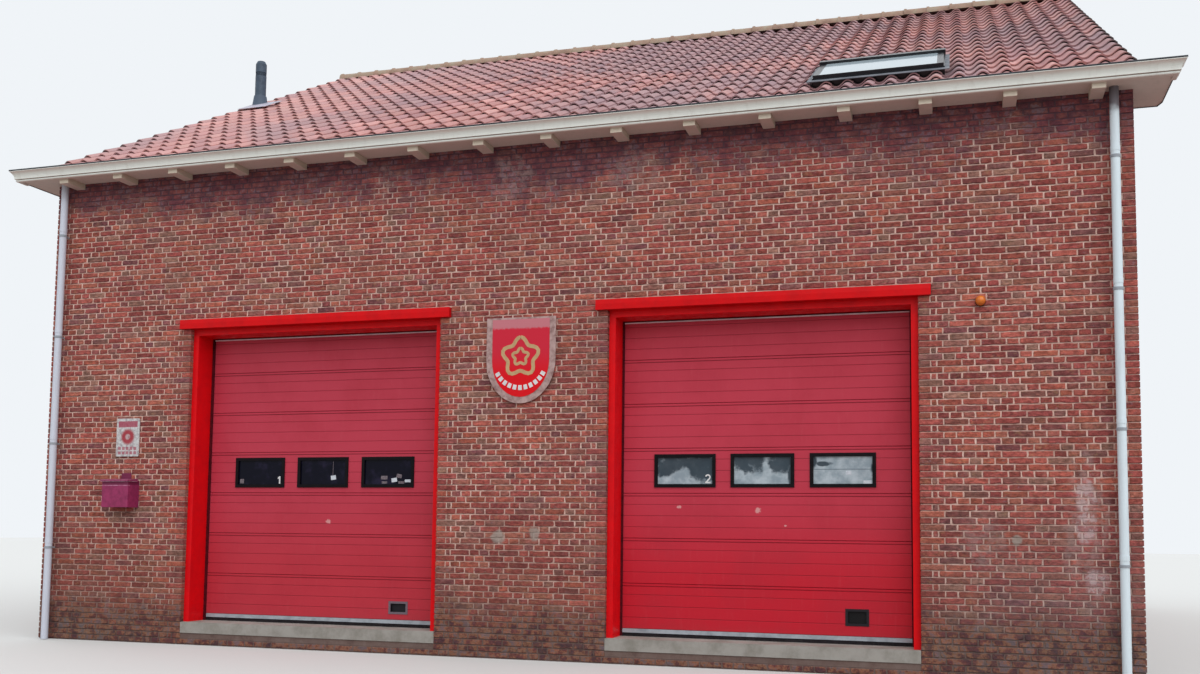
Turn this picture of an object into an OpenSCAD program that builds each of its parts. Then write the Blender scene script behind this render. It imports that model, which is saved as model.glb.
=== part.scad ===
// Two-bay brick fire station with a pantiled gable roof.
// Millimetres. Front faces -Y, X runs along the front, Z is up.
// Origin: centre of the plan, at the foot of the brick walls.

/* [Building] */
// Length of the front and rear walls, corner to corner
wall_length = 11780; // [9000:10:15000]
// Depth of the building, front face to rear face
wall_depth = 13300; // [9000:10:16000]
// Thickness of the brick walls, one and a half bricks
wall_t = 320; // [210:10:450]
// Height of the door thresholds above the foot of the walls
threshold_h = 250; // [100:10:500]
// Height of the cornice soffit above the thresholds
soffit_h = 5088; // [4300:1:6500]

/* [Roof] */
// Pitch of both roof slopes
roof_pitch = 28.5; // [20:0.5:40]
// Height of the tile surface over the soffit, at the face of the wall
tile_rise = 297; // [240:1:420]
// Thickness of the tiles and the battens under them
tile_build = 100; // [70:1:140]
// Thickness of the boarded deck
deck_t = 60; // [25:1:120]
// How far the tiles reach past the gable walls
verge_over = 60; // [0:5:150]
// How far the tiles reach past the face of the front and rear walls
eave_over = 210; // [100:5:280]
// Radius of the ridge tiles
ridge_r = 120; // [90:1:160]
// Height of the ridge tiles above the meeting line of the slopes
ridge_rise = 50; // [30:1:90]

/* [Cornice and gutter] */
// Reach of the soffit board, wall face to the back of the bead
soffit_reach = 285; // [220:1:330]
// Thickness of the soffit board
soffit_board = 22; // [15:1:40]
// Width of the bead under the fascia
bead_w = 48; // [15:1:60]
// Drop of the bead below the soffit
bead_drop = 16; // [10:1:60]
// Height of the shadow groove between bead and fascia
groove_h = 9; // [4:1:15]
// Height of the hollow moulding of the fascia
cavetto_h = 84; // [60:1:140]
// Reach of that moulding from its foot to its top
flare = 42; // [20:1:110]
// Sheet thickness of the zinc lining
zinc_t = 6; // [3:1:12]
// Radius of the rolled edge of the zinc
roll_r = 9; // [6:0.5:14]
// Length of the boxed end behind the face of the wall
box_return = 510; // [200:5:700]
// Side reach of that boxed end past the gable
box_reach = 300; // [290:1:340]
// Narrowing in plan of the zinc edge along that end
edge_taper = 42; // [10:1:60]

/* [Corbels] */
// Number of corbels along the front
corbel_count = 16; // [8:1:24]
// Distance of the first corbel from the wall corner
corbel_inset = 315; // [310:5:600]
// Width of a corbel
corbel_w = 118; // [80:1:160]
// Depth of a corbel below the soffit
corbel_drop = 63; // [40:1:120]

/* [Rainwater pipes] */
// Outside diameter of a downpipe
pipe_d = 80; // [60:1:120]
// Distance of a downpipe's centre from the wall corner
pipe_inset = 172; // [90:1:190]
// Distance of a downpipe's centre from the wall face
pipe_standoff = 95; // [75:1:160]
// Height of one sleeve joint on a downpipe
sleeve_h = 45; // [25:1:80]

/* [Vehicle doors] */
// Left edge of the first door opening, from the wall corner
door_1_x = 1922; // [1200:1:2600]
// Width of the first door opening
door_1_w = 3084; // [2600:1:3600]
// Left edge of the second door opening, from the wall corner
door_2_x = 6858; // [6000:1:7400]
// Width of the second door opening
door_2_w = 3028; // [2600:1:3600]
// Height of both openings, threshold to lintel
door_h = 3290; // [2600:1:3900]
// Height of the lintel
lintel_h = 105; // [80:1:200]
// Length of lintel that bears on the wall at each end
lintel_bearing = 120; // [60:5:250]
// How far the lintel stands out from the wall
lintel_proud = 50; // [0:1:90]
// Face width of the door frame
frame_w = 66; // [40:1:120]
// How far the frame sits back from the wall face
frame_setback = 57; // [0:1:120]
// Gap from the inside of the wall to the door leaf
leaf_gap = 15; // [8:1:40]
// Thickness of the insulated door leaf
leaf_t = 42; // [30:1:60]
// How far the leaf overlaps the frame at each side
leaf_lap = 40; // [20:1:80]
// Number of sections in a leaf
section_n = 7; // [5:1:9]
// How far the leaf overlaps the frame at the head
head_lap = 52; // [20:1:80]
// Height of the aluminium rail at the foot of the leaf
rail_h = 40; // [20:1:80]
// Height of the rubber seal under the rail
seal_h = 37; // [15:1:60]
// Ribs pressed into each section
rib_n = 4; // [2:1:8]

/* [Door windows] */
// Width of a window frame
win_w = 633; // [400:1:800]
// Height of a window frame
win_h = 336; // [200:1:400]
// Face width of a window frame
win_border = 34; // [20:1:60]
// Distance between window centres in the first door
win_pitch_1 = 800; // [700:1:950]
// Distance between window centres in the second door
win_pitch_2 = 785; // [700:1:950]
// Section that holds the windows, counted from the floor
win_section = 4; // [2:1:6]

/* [Plaques and fittings] */
// Width of the shield plaque
shield_w = 759; // [400:1:1000]
// Height of the shield plaque
shield_h = 894; // [500:1:1200]
// Width of the clear border around the shield's field
shield_border = 66; // [20:1:120]
// Width of the wall sign
sign_w = 305; // [200:1:500]
// Height of the wall sign
sign_h = 435; // [200:1:600]
// Width of the mailbox
mail_w = 352; // [250:1:450]
// Depth of the mailbox, wall to front
mail_d = 185; // [120:1:250]
// Height of the mailbox body
mail_h = 300; // [200:1:450]
// Sheet thickness of the mailbox
mail_t = 4; // [2:0.5:6]
// Radius of the orange lamp
lamp_r = 45; // [30:1:80]

/* [Roof fittings] */
// Width of the roof window
roofwin_w = 1300; // [780:10:1600]
// Length of the roof window, along the slope
roofwin_l = 980; // [700:10:1400]
// Radius of the flue terminal
flue_r = 80; // [50:1:120]
// Height of the flue terminal above the tiles
flue_h = 665; // [400:5:1200]

/* [Hidden] */
eps = 0.01;
yf = -wall_depth / 2;
zt = threshold_h;
zs = threshold_h + soffit_h;
half = wall_depth / 2;
tp = tan(roof_pitch);
cp = cos(roof_pitch);
tile_v = tile_build / cp;
deck_v = deck_t / cp;
crest_0 = zs + tile_rise;
crest_top = crest_0 + half * tp;
corbel_step = (wall_length - 2 * corbel_inset) / (corbel_count - 1);
fascia_foot = soffit_reach + bead_w + 10;
cornice_reach = fascia_foot + flare;
bead_top = 6;
fascia_z0 = bead_top + groove_h;
fascia_z1 = fascia_z0 + cavetto_h + 5;
cav_r = (flare * flare + cavetto_h * cavetto_h) / (2 * flare);
leaf_y = wall_t + leaf_gap;
section_h = (door_h - frame_w + head_lap - rail_h - seal_h) / section_n;
rib_pitch = section_h / rib_n;
clip_gap = 0.3;
seat_gap = 0.3;
back_board_h = 72;
return_stop = 170;
box_h = fascia_z1;
box_run = box_return - 100;
edge_run = cornice_reach + box_run;
edge_turn = atan(edge_taper / edge_run);

// Distance from the left wall corner, as a position.
function xl(x) = x - wall_length / 2;
// Height of a roof plane y behind the face of the wall, v below the tile surface.
function roof_z(y, v) = crest_0 + y * tp - v;

// A profile in Y and Z, drawn from the wall face backwards, run along X.
module along_x(x0, x1) {
  translate([x0, yf, 0])
    rotate([90, 0, 90])
      linear_extrude(height = x1 - x0)
        children();
}

// The same piece at the front or at the rear.
module both_sides(rear) {
  mirror([0, rear ? 1 : 0, 0])
    children();
}

// A box from a position at the left wall corner, the wall face and the threshold.
module block(x, y, z, w, d, h) {
  translate([xl(x), yf + y, zt + z])
    cube([w, d, h]);
}

// Places things on a slope: X along the eave, Y up the slope, Z out of the tiles.
module on_slope(x, y) {
  translate([xl(x), yf + y, roof_z(y, 0)])
    rotate([roof_pitch, 0, 0])
      children();
}

// Walls

module long_wall_profile() {
  polygon([
    [0, 0],
    [wall_t, 0],
    [wall_t, roof_z(wall_t, tile_v + deck_v + seat_gap)],
    [0, roof_z(0, tile_v + deck_v + seat_gap)]
  ]);
}

module door_opening(x, w) {
  block(x, -lintel_proud - 10, 0, w, wall_t + lintel_proud + 20, door_h + lintel_h);
  block(x - lintel_bearing, -1, door_h, w + 2 * lintel_bearing, wall_t + 2, lintel_h);
  block(x, -1, -sill_h, w, wall_t + 2, sill_h + 1);
}

// Depth of the concrete threshold under each door.
sill_h = 120;

module front_wall() {
  color([0.55, 0.24, 0.18])
    difference() {
      along_x(-wall_length / 2, wall_length / 2)
        long_wall_profile();
      door_opening(door_1_x, door_1_w);
      door_opening(door_2_x, door_2_w);
    }
}

module rear_wall() {
  color([0.55, 0.24, 0.18])
    both_sides(true)
      along_x(-wall_length / 2, wall_length / 2)
        long_wall_profile();
}

module gable_profile() {
  zi = roof_z(wall_t, tile_v + deck_v + seat_gap);
  za = roof_z(half, tile_v + deck_v + seat_gap);
  polygon([
    [wall_t, 0],
    [wall_depth - wall_t, 0],
    [wall_depth - wall_t, zi],
    [half, za],
    [wall_t, zi]
  ]);
}

module left_gable_wall() {
  color([0.55, 0.24, 0.18])
    along_x(-wall_length / 2, -wall_length / 2 + wall_t)
      gable_profile();
}

module right_gable_wall() {
  color([0.55, 0.24, 0.18])
    along_x(wall_length / 2 - wall_t, wall_length / 2)
      gable_profile();
}

module floor_slab() {
  color([0.62, 0.61, 0.58])
    translate([-wall_length / 2 + wall_t, yf + wall_t, 0])
      cube([wall_length - 2 * wall_t, wall_depth - 2 * wall_t, zt]);
}

module door_thresholds() {
  color([0.66, 0.65, 0.62]) {
    block(door_1_x, 0, -sill_h, door_1_w, wall_t, sill_h);
    block(door_2_x, 0, -sill_h, door_2_w, wall_t, sill_h);
  }
}

// Roof

module slope_profile(y0, top, bottom) {
  polygon([
    [y0, roof_z(y0, bottom)],
    [half, roof_z(half, bottom)],
    [half, roof_z(half, top)],
    [y0, roof_z(y0, top)]
  ]);
}

module roof_deck(rear) {
  difference() {
    both_sides(rear)
      along_x(-wall_length / 2, wall_length / 2)
        slope_profile(-60, tile_v + seat_gap, tile_v + deck_v);
    if (!rear) roof_cutouts();
  }
}

module roof_deck_front() {
  color([0.55, 0.43, 0.30])
    roof_deck(false);
}

module roof_deck_rear() {
  color([0.55, 0.43, 0.30])
    roof_deck(true);
}

module tile_field(rear) {
  x1 = wall_length / 2 + verge_over;
  difference() {
    both_sides(rear)
      along_x(-x1, x1)
        slope_profile(-eave_over, 0, tile_v);
    if (!rear) roof_cutouts();
  }
}

module tile_field_front() {
  color([0.66, 0.33, 0.24])
    tile_field(false);
}

module tile_field_rear() {
  color([0.66, 0.33, 0.24])
    tile_field(true);
}

module ridge_tiles() {
  x1 = wall_length / 2 + verge_over;
  color([0.55, 0.42, 0.30])
    translate([-x1, 0, 0])
      rotate([90, 0, 90])
        linear_extrude(height = 2 * x1)
          difference() {
            translate([0, crest_top + ridge_rise - ridge_r])
              circle(r = ridge_r, $fn = 64);
            translate([0, seat_gap])
              polygon([
                [0, crest_top],
                [-2 * ridge_r, crest_top - 2 * ridge_r * tp],
                [-2 * ridge_r, crest_top - 4 * ridge_r],
                [2 * ridge_r, crest_top - 4 * ridge_r],
                [2 * ridge_r, crest_top - 2 * ridge_r * tp]
              ]);
          }
}

// Cornice: the same moulding on the front and on both returns, mitred at the corners.

// Half of the moulding, out from the wall at x = 0, heights from the soffit.
module moulding_half() {
  difference() {
    translate([0, fascia_z0])
      square([cornice_reach, fascia_z1 - fascia_z0]);
    translate([fascia_foot + cav_r, fascia_z0])
      circle(r = cav_r, $fn = 96);
  }
  square([soffit_reach + bead_w - 20, fascia_z1]);
  bead_profile();
}

// The bead: a flat strip with a rounded lower edge.
module bead_profile() {
  r = min(bead_w, bead_drop + bead_top) - 4;
  translate([soffit_reach, -bead_drop])
    intersection() {
      square([bead_w, bead_drop + bead_top]);
      union() {
        square([bead_w - r, bead_drop + bead_top]);
        translate([0, r])
          square([bead_w, bead_drop + bead_top]);
        translate([bead_w - r, r])
          circle(r = r, $fn = 48);
      }
    }
}

module front_moulding(len) {
  translate([-len / 2, yf, zs])
    rotate([90, 0, 90])
      linear_extrude(height = len)
        mirror([1, 0])
          moulding_half();
}

// The moulding of both ends, from the front of the cornice back to the stop of the return.
module end_moulding(depth) {
  for (m = [0, 1])
    mirror([m, 0, 0]) {
      translate([0, yf, zs])
        rotate([90, 0, 0])
          linear_extrude(height = depth)
            translate([0, -bead_drop])
              square([wall_length / 2 + 1, fascia_z1 + bead_drop]);
      translate([wall_length / 2, yf, zs])
        rotate([90, 0, 0])
          linear_extrude(height = return_stop + 1)
            square([box_reach, fascia_z1]);
      translate([wall_length / 2, yf - return_stop, zs])
        rotate([90, 0, 0])
          linear_extrude(height = depth - return_stop) {
            moulding_half();
            translate([0, -bead_drop])
              square([soffit_reach + 1, bead_drop + fascia_z1]);
          }
    }
}

// The bead of a return, behind the mitre.
module return_bead() {
  translate([wall_length / 2, yf - return_stop, zs])
    rotate([90, 0, 0])
      linear_extrude(height = soffit_reach - return_stop + 1)
        bead_profile();
}

// Plan of a boxed end, grown by t for its zinc cover.
module boxed_outline(t) {
  polygon([
    [0, -return_stop + 1],
    [box_reach + t, -return_stop + 1],
    [box_reach + t, box_run],
    [box_reach - 30 + t, box_return + t],
    [0, box_return + t]
  ]);
}

module boxed_end() {
  translate([wall_length / 2, yf, zs])
    linear_extrude(height = box_h)
      boxed_outline(0);
}

// Plan of the zinc flange that runs on from the front over a boxed end.
module end_flange() {
  polygon([
    [0, -return_stop - 1],
    [cornice_reach - edge_taper * (cornice_reach - return_stop) / edge_run, -return_stop - 1],
    [cornice_reach - edge_taper, box_run],
    [box_reach - 25, box_return + 5],
    [0, box_return + 5]
  ]);
}

// Zinc over a boxed end, turned down at its sides to a drip.
module boxed_end_cover() {
  translate([wall_length / 2, yf, zs - 7])
    linear_extrude(height = box_h + 7)
      difference() {
        boxed_outline(5);
        boxed_outline(0);
      }
  translate([wall_length / 2, yf, zs + box_h])
    linear_extrude(height = zinc_t)
      end_flange();
}

module cornice_body() {
  difference() {
    union() {
      intersection() {
        front_moulding(wall_length + 2 * cornice_reach + 100);
        end_moulding(cornice_reach + 50);
      }
      for (m = [0, 1])
        mirror([m, 0, 0]) {
          boxed_end();
          return_bead();
        }
    }
    gutter_trough(0);
    back_board_cut();
    for (s = [-1, 1])
      pipe_hole(s);
  }
}

// Lowers the board at the back of the gutter, so that the eaves pass over it.
module back_board_cut() {
  x1 = wall_length / 2 + soffit_reach - 5;
  translate([-x1, yf - soffit_reach + 4, zs + back_board_h])
    cube([2 * x1, soffit_reach + 10, fascia_z1 + zinc_t]);
}

// The trough inside the box, shrunk all round by t for the lining.
module gutter_trough(t) {
  x1 = wall_length / 2 + soffit_reach - 5 - t;
  translate([-x1, yf - soffit_reach + t, zs + soffit_board + t])
    cube([2 * x1, soffit_reach - 25 - 2 * t, fascia_z1]);
}

module pipe_hole(s) {
  translate([s * (wall_length / 2 - pipe_inset), yf - pipe_standoff, zs - 10])
    cylinder(d = pipe_d + 4, h = soffit_board + zinc_t + 20, $fn = 48);
}

module front_cornice() {
  color([0.72, 0.71, 0.64])
    cornice_body();
}

module rear_cornice() {
  color([0.72, 0.71, 0.64])
    both_sides(true)
      cornice_body();
}

// Zinc lining that lies over the fascia and ends in a rolled edge.
module gutter_lining() {
  xr = wall_length / 2 + cornice_reach;
  xe = wall_length / 2 + soffit_reach - 5;
  zr = zs + fascia_z1 + roll_r;
  difference() {
    union() {
      intersection() {
        gutter_trough(0);
        translate([-xe, yf - soffit_reach, zs])
          cube([2 * xe, soffit_reach, fascia_z1]);
      }
      translate([-xr, yf - cornice_reach, zs + fascia_z1])
        cube([2 * xr, cornice_reach - return_stop, zinc_t]);
      translate([-xr - 4, yf - cornice_reach + roll_r - 4, zr])
        rotate([0, 90, 0])
          cylinder(r = roll_r, h = 2 * xr + 8, $fn = 32);
      for (s = [-1, 1])
        translate([s * (xr - roll_r + 4), yf - cornice_reach + roll_r - 4, zr])
          rotate([-90, 0, s * edge_turn])
            cylinder(r = roll_r, h = edge_run, $fn = 32);
      for (m = [0, 1])
        mirror([m, 0, 0])
          boxed_end_cover();
    }
    gutter_trough(4);
    back_board_cut();
    for (s = [-1, 1])
      pipe_hole(s);
  }
}

module front_gutter_lining() {
  color([0.27, 0.27, 0.29])
    gutter_lining();
}

module rear_gutter_lining() {
  color([0.27, 0.27, 0.29])
    both_sides(true)
      gutter_lining();
}

module corbels() {
  for (i = [0 : corbel_count - 1])
    translate([xl(corbel_inset + i * corbel_step) - corbel_w / 2, yf - soffit_reach + 1, zs - corbel_drop])
      cube([corbel_w, soffit_reach - 1, corbel_drop]);
}

module front_corbels() {
  color([0.70, 0.68, 0.60])
    corbels();
}

module rear_corbels() {
  color([0.70, 0.68, 0.60])
    both_sides(true)
      corbels();
}

// Rainwater pipes

pipe_joints = [850, 2050, 3300, 4500];

module downpipe(s) {
  translate([s * (wall_length / 2 - pipe_inset), yf - pipe_standoff, 0])
    union() {
      translate([0, 0, 5])
        cylinder(d = pipe_d, h = zs - 3, $fn = 48);
      for (z = pipe_joints)
        translate([0, 0, zt + z])
          cylinder(d = pipe_d + 5, h = sleeve_h, $fn = 48);
    }
}

module front_downpipes() {
  color([0.76, 0.77, 0.77]) {
    downpipe(-1);
    downpipe(1);
  }
}

module rear_downpipes() {
  color([0.76, 0.77, 0.77])
    both_sides(true) {
      downpipe(-1);
      downpipe(1);
    }
}

module pipe_clip(s, z) {
  translate([s * (wall_length / 2 - pipe_inset), yf - pipe_standoff, zt + z])
    difference() {
      union() {
        cylinder(d = pipe_d + 10, h = 25, $fn = 48);
        translate([-6, 0, 5])
          cube([12, pipe_standoff, 15]);
      }
      translate([0, 0, -1])
        cylinder(d = pipe_d + 2 * clip_gap, h = 27, $fn = 48);
    }
}

module downpipe_clips() {
  color([0.72, 0.73, 0.73])
    for (rear = [false, true])
      both_sides(rear)
        for (s = [-1, 1], z = pipe_joints)
          pipe_clip(s, z - 60);
}

// Vehicle doors

module lintel(x, w) {
  l = w + 2 * lintel_bearing;
  translate([xl(x) - lintel_bearing, yf, zt + door_h])
    rotate([90, 0, 90])
      linear_extrude(height = l)
        polygon([
          [-lintel_proud, 0],
          [wall_t, 0],
          [wall_t, lintel_h],
          [-lintel_proud + 7, lintel_h],
          [-lintel_proud, lintel_h * 0.56]
        ]);
}

module door_1_lintel() {
  color([0.78, 0.06, 0.06])
    lintel(door_1_x, door_1_w);
}

module door_2_lintel() {
  color([0.78, 0.06, 0.06])
    lintel(door_2_x, door_2_w);
}

module door_frame(x, w) {
  d = wall_t - frame_setback;
  block(x, frame_setback, 0, frame_w, d, door_h);
  block(x + w - frame_w, frame_setback, 0, frame_w, d, door_h);
  block(x + frame_w - 1, frame_setback, door_h - frame_w, w - 2 * frame_w + 2, d, frame_w);
}

module door_1_frame() {
  color([0.78, 0.06, 0.06])
    door_frame(door_1_x, door_1_w);
}

module door_2_frame() {
  color([0.78, 0.06, 0.06])
    door_frame(door_2_x, door_2_w);
}

function leaf_x(x) = x + frame_w - leaf_lap;
function leaf_w(w) = w - 2 * frame_w + 2 * leaf_lap;
function win_z() = seal_h + rail_h + (win_section - 1) * section_h + (section_h - win_h) / 2;
function win_x(x, w, pitch, i) = x + w / 2 + (i - 1) * pitch - win_w / 2;

// One section: flat back, front pressed with shallow ribs, a deeper groove below the top joint.
module section_profile() {
  g = 6;
  lines = concat([[section_h - 28, g]], [for (i = [rib_n - 1 : -1 : 1]) [i * rib_pitch, 2]]);
  polygon(concat(
    [[leaf_t, 0.3], [leaf_t, section_h - 0.3], [g, section_h - 0.3], [0, section_h - 5]],
    [for (n = lines, p = [[0, 5], [1, 2], [1, -2], [0, -5]]) [p[0] * n[1], n[0] + p[1]]],
    [[0, 5], [g, 0.3]]
  ));
}

module door_leaf(x, w, pitch, grip_x, grip_z, grip_w, grip_h) {
  difference() {
    for (i = [0 : section_n - 1])
      translate([xl(leaf_x(x)), yf + leaf_y, zt + seal_h + rail_h + i * section_h])
        rotate([90, 0, 90])
          linear_extrude(height = leaf_w(w))
            section_profile();
    for (i = [0 : 2])
      block(win_x(x, w, pitch, i) + 10, leaf_y - 1, win_z() + 10, win_w - 20, leaf_t + 2, win_h - 20);
    block(grip_x + 18, leaf_y - 1, grip_z + 18, grip_w - 36, 31, grip_h - 36);
  }
}

module door_1_leaf() {
  color([0.64, 0.13, 0.18])
    door_leaf(door_1_x, door_1_w, win_pitch_1, grip_1_x, grip_1_z, grip_1_w, grip_1_h);
}

module door_2_leaf() {
  color([0.64, 0.11, 0.15])
    door_leaf(door_2_x, door_2_w, win_pitch_2, grip_2_x, grip_2_z, grip_2_w, grip_2_h);
}

module door_bottom_rails() {
  color([0.66, 0.68, 0.70]) {
    block(leaf_x(door_1_x), leaf_y, seal_h, leaf_w(door_1_w), leaf_t, rail_h);
    block(leaf_x(door_2_x), leaf_y, seal_h, leaf_w(door_2_w), leaf_t, rail_h);
  }
}

module door_bottom_seals() {
  color([0.05, 0.05, 0.06]) {
    block(leaf_x(door_1_x), leaf_y + 5, 0, leaf_w(door_1_w), leaf_t - 10, seal_h);
    block(leaf_x(door_2_x), leaf_y + 5, 0, leaf_w(door_2_w), leaf_t - 10, seal_h);
  }
}

// Rubber that closes the gap between the frame and the leaf, at both sides and the top.
module side_seal(x, w, show) {
  h = door_h - frame_w;
  block(x + frame_w - 30, wall_t, 0, 30 + show, leaf_gap, h);
  block(x + w - frame_w - show, wall_t, 0, 30 + show, leaf_gap, h);
  block(x + frame_w - 30, wall_t, h - 12, w - 2 * frame_w + 60, leaf_gap, 30);
}

module door_side_seals() {
  color([0.06, 0.05, 0.05]) {
    side_seal(door_1_x, door_1_w, 30);
    side_seal(door_2_x, door_2_w, 22);
  }
}

module window_frame(x, z) {
  difference() {
    union() {
      block(x, leaf_y - 12, z, win_w, 12, win_h);
      block(x + 10, leaf_y - 1, z + 10, win_w - 20, leaf_t + 1, win_h - 20);
    }
    block(x + win_border, leaf_y - 20, z + win_border, win_w - 2 * win_border, leaf_t + 40, win_h - 2 * win_border);
    block(x + win_border - 8, leaf_y + 8, z + win_border - 8, win_w - 2 * win_border + 16, 20,
      win_h - 2 * win_border + 16);
  }
}

module window_pane(x, z) {
  block(x + win_border - 8, leaf_y + 8, z + win_border - 8, win_w - 2 * win_border + 16, 20,
    win_h - 2 * win_border + 16);
}

module door_window_frames() {
  color([0.07, 0.07, 0.08])
    for (i = [0 : 2]) {
      window_frame(win_x(door_1_x, door_1_w, win_pitch_1, i), win_z());
      window_frame(win_x(door_2_x, door_2_w, win_pitch_2, i), win_z());
    }
}

module door_window_glass() {
  color([0.55, 0.62, 0.64, 0.4])
    for (i = [0 : 2]) {
      window_pane(win_x(door_1_x, door_1_w, win_pitch_1, i), win_z());
      window_pane(win_x(door_2_x, door_2_w, win_pitch_2, i), win_z());
    }
}

grip_1_x = 4313;
grip_1_z = 139;
grip_1_w = 228;
grip_1_h = 138;
grip_2_x = 9175;
grip_2_z = 176;
grip_2_w = 224;
grip_2_h = 163;

// A recessed hand pull: a flat rim on the leaf and a bowl set into it.
module grip(x, z, w, h) {
  difference() {
    union() {
      block(x, leaf_y - 5, z, w, 5, h);
      block(x + 18, leaf_y - 1, z + 18, w - 36, 31, h - 36);
    }
    block(x + 24, leaf_y - 10, z + 24, w - 48, 34, h - 48);
  }
}

module door_1_grip() {
  color([0.50, 0.50, 0.53])
    grip(grip_1_x, grip_1_z, grip_1_w, grip_1_h);
}

module door_2_grip() {
  color([0.08, 0.08, 0.09])
    grip(grip_2_x, grip_2_z, grip_2_w, grip_2_h);
}

// Plaques and fittings

shield_x = (door_1_x + door_1_w + door_2_x) / 2;
shield_top = 3252;
shield_gap = 22;

// Shield outline: straight sides over a rounded foot, inset by b.
module shield_outline(b) {
  hw = shield_w / 2 - b;
  side = shield_h * 0.495;
  foot = shield_h - side - b;
  polygon(concat(
    [[-hw, -b * 0.3], [-hw, -side]],
    [for (i = [1 : 19]) [-hw * cos(i * 9), -side - foot * sin(i * 9)]],
    [[hw, -side], [hw, -b * 0.3]]
  ));
}

module shield_plate() {
  color([0.62, 0.60, 0.58]) {
    translate([xl(shield_x), yf - shield_gap, zt + shield_top])
      rotate([90, 0, 0])
        linear_extrude(height = 8)
          shield_outline(0);
    for (p = [[-310, -70], [310, -70], [-250, -560], [250, -560]])
      translate([xl(shield_x) + p[0], yf, zt + shield_top + p[1]])
        rotate([90, 0, 0])
          cylinder(r = 12, h = shield_gap + 1, $fn = 32);
  }
}

module shield_field() {
  color([0.80, 0.05, 0.07])
    translate([xl(shield_x), yf - shield_gap - 8, zt + shield_top])
      rotate([90, 0, 0])
        linear_extrude(height = 4)
          shield_outline(shield_border);
}

module sign_plate() {
  r = 14;
  color([0.78, 0.76, 0.76])
    translate([xl(980), yf, zt + 1850])
      rotate([90, 0, 0])
        linear_extrude(height = 14) {
          translate([r, 0])
            square([sign_w - 2 * r, sign_h]);
          translate([0, r])
            square([sign_w, sign_h - 2 * r]);
          for (x = [r, sign_w - r], z = [r, sign_h - r])
            translate([x, z])
              circle(r = r, $fn = 32);
        }
}

mail_x = 954;
mail_z = 1267;
hinge_r = 5;
hinge_back = 24;
hinge_up = 14;
lid_back = 16;

// Sheet box with a hanging plate behind it, a rim strip and a pin for the lid.
module mailbox_body() {
  color([0.50, 0.13, 0.30]) {
    difference() {
      block(mail_x, -mail_d, mail_z, mail_w, mail_d, mail_h);
      block(mail_x + mail_t, -mail_d + mail_t, mail_z + mail_t, mail_w - 2 * mail_t, mail_d - 2 * mail_t, mail_h);
    }
    block(mail_x + mail_w / 2 - 66, -4, mail_z + mail_h - 40, 132, 4, 132);
    block(mail_x + 90, -mail_d - 2.5, mail_z + mail_h - 62, 120, 3, 9);
    for (x = [30, mail_w - 50])
      hinge_lug(x, 20);
    translate([xl(mail_x) + 20, yf - hinge_back, zt + mail_z + mail_h + hinge_up])
      rotate([0, 90, 0])
        cylinder(r = hinge_r, h = mail_w - 40, $fn = 32);
  }
}

// Ear that carries the lid's hinge pin.
module hinge_lug(x, w) {
  translate([xl(mail_x) + x, yf, zt + mail_z + mail_h])
    rotate([90, 0, 90])
      linear_extrude(height = w) {
        translate([-hinge_back, hinge_up])
          circle(r = 10, $fn = 32);
        translate([-hinge_back, hinge_up - 10])
          square([hinge_back, 20]);
        translate([-6, -25])
          square([6, hinge_up + 26]);
      }
}

// Sloping lid with a narrow turned-down rim that overhangs the box, hung on the pin at the back.
module mailbox_lid() {
  rim = 10;
  side = 12;
  l = mail_d + 20;
  back = -hinge_back - lid_back;
  color([0.54, 0.22, 0.36])
    translate([xl(mail_x), yf, zt + mail_z + mail_h]) {
      translate([-side, 0, 0])
        rotate([90, 0, 90])
          linear_extrude(height = mail_w + 2 * side)
            polygon([[-l, -rim], [-l + 3, -rim], [-l + 3, 6], [back, 14], [back, 26], [-l, 12]]);
      for (x = [-side, mail_w + side - 3])
        translate([x, 0, 0])
          rotate([90, 0, 90])
            linear_extrude(height = 3)
              polygon([[-l, -rim], [back, -rim], [back, 20], [-l, 8]]);
      for (x = [70, mail_w - 110])
        translate([x, -hinge_back, hinge_up])
          difference() {
            union() {
              rotate([0, 90, 0])
                cylinder(r = 11, h = 40, $fn = 32);
              translate([0, -lid_back - 2, 0])
                cube([40, lid_back + 2, 11]);
            }
            translate([-1, 0, 0])
              rotate([0, 90, 0])
                cylinder(r = hinge_r + 0.2, h = 42, $fn = 32);
          }
    }
}

module lamp_base() {
  color([0.20, 0.19, 0.19])
    translate([xl(10445), yf, zt + 3213])
      rotate([90, 0, 0])
        cylinder(r = lamp_r + 3, h = 16, $fn = 48);
}

module lamp_dome() {
  color([0.88, 0.38, 0.06])
    translate([xl(10445), yf - 16, zt + 3213])
      rotate([90, 0, 0])
        rotate_extrude($fn = 48)
          intersection() {
            square([lamp_r, 70]);
            union() {
              square([lamp_r, 22]);
              translate([0, 22])
                circle(r = lamp_r, $fn = 48);
            }
          }
}

// Roof fittings

flue_x = 262;
flue_y = 3680;
louvre_n = 3;
louvre_h = 52;
cap_h = 175;

// Flue terminal: a plain pipe, a band of louvre rings round a core, and a closed cap.
module flue_pipe() {
  zb = roof_z(flue_y + flue_r, tile_v + deck_v) + seat_gap;
  h = roof_z(flue_y, 0) + flue_h - zb;
  slot = louvre_h / (2 * louvre_n + 1);
  louvre = h - cap_h - louvre_h;
  color([0.26, 0.29, 0.33])
    translate([xl(flue_x), yf + flue_y, zb])
      rotate_extrude($fn = 64)
        polygon(concat(
          [[0, 0], [flue_r, 0], [flue_r, louvre]],
          [for (i = [0 : louvre_n - 1], p = [[-14, 2 * i], [-14, 2 * i + 1], [-2, 2 * i + 1], [-2, 2 * i + 2]])
            [flue_r + p[0], louvre + p[1] * slot]],
          [
            [flue_r - 14, louvre + 2 * louvre_n * slot],
            [flue_r - 14, h - cap_h],
            [flue_r, h - cap_h],
            [flue_r, h - 45],
            [flue_r - 22, h],
            [0, h]
          ]
        ));
}

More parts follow.
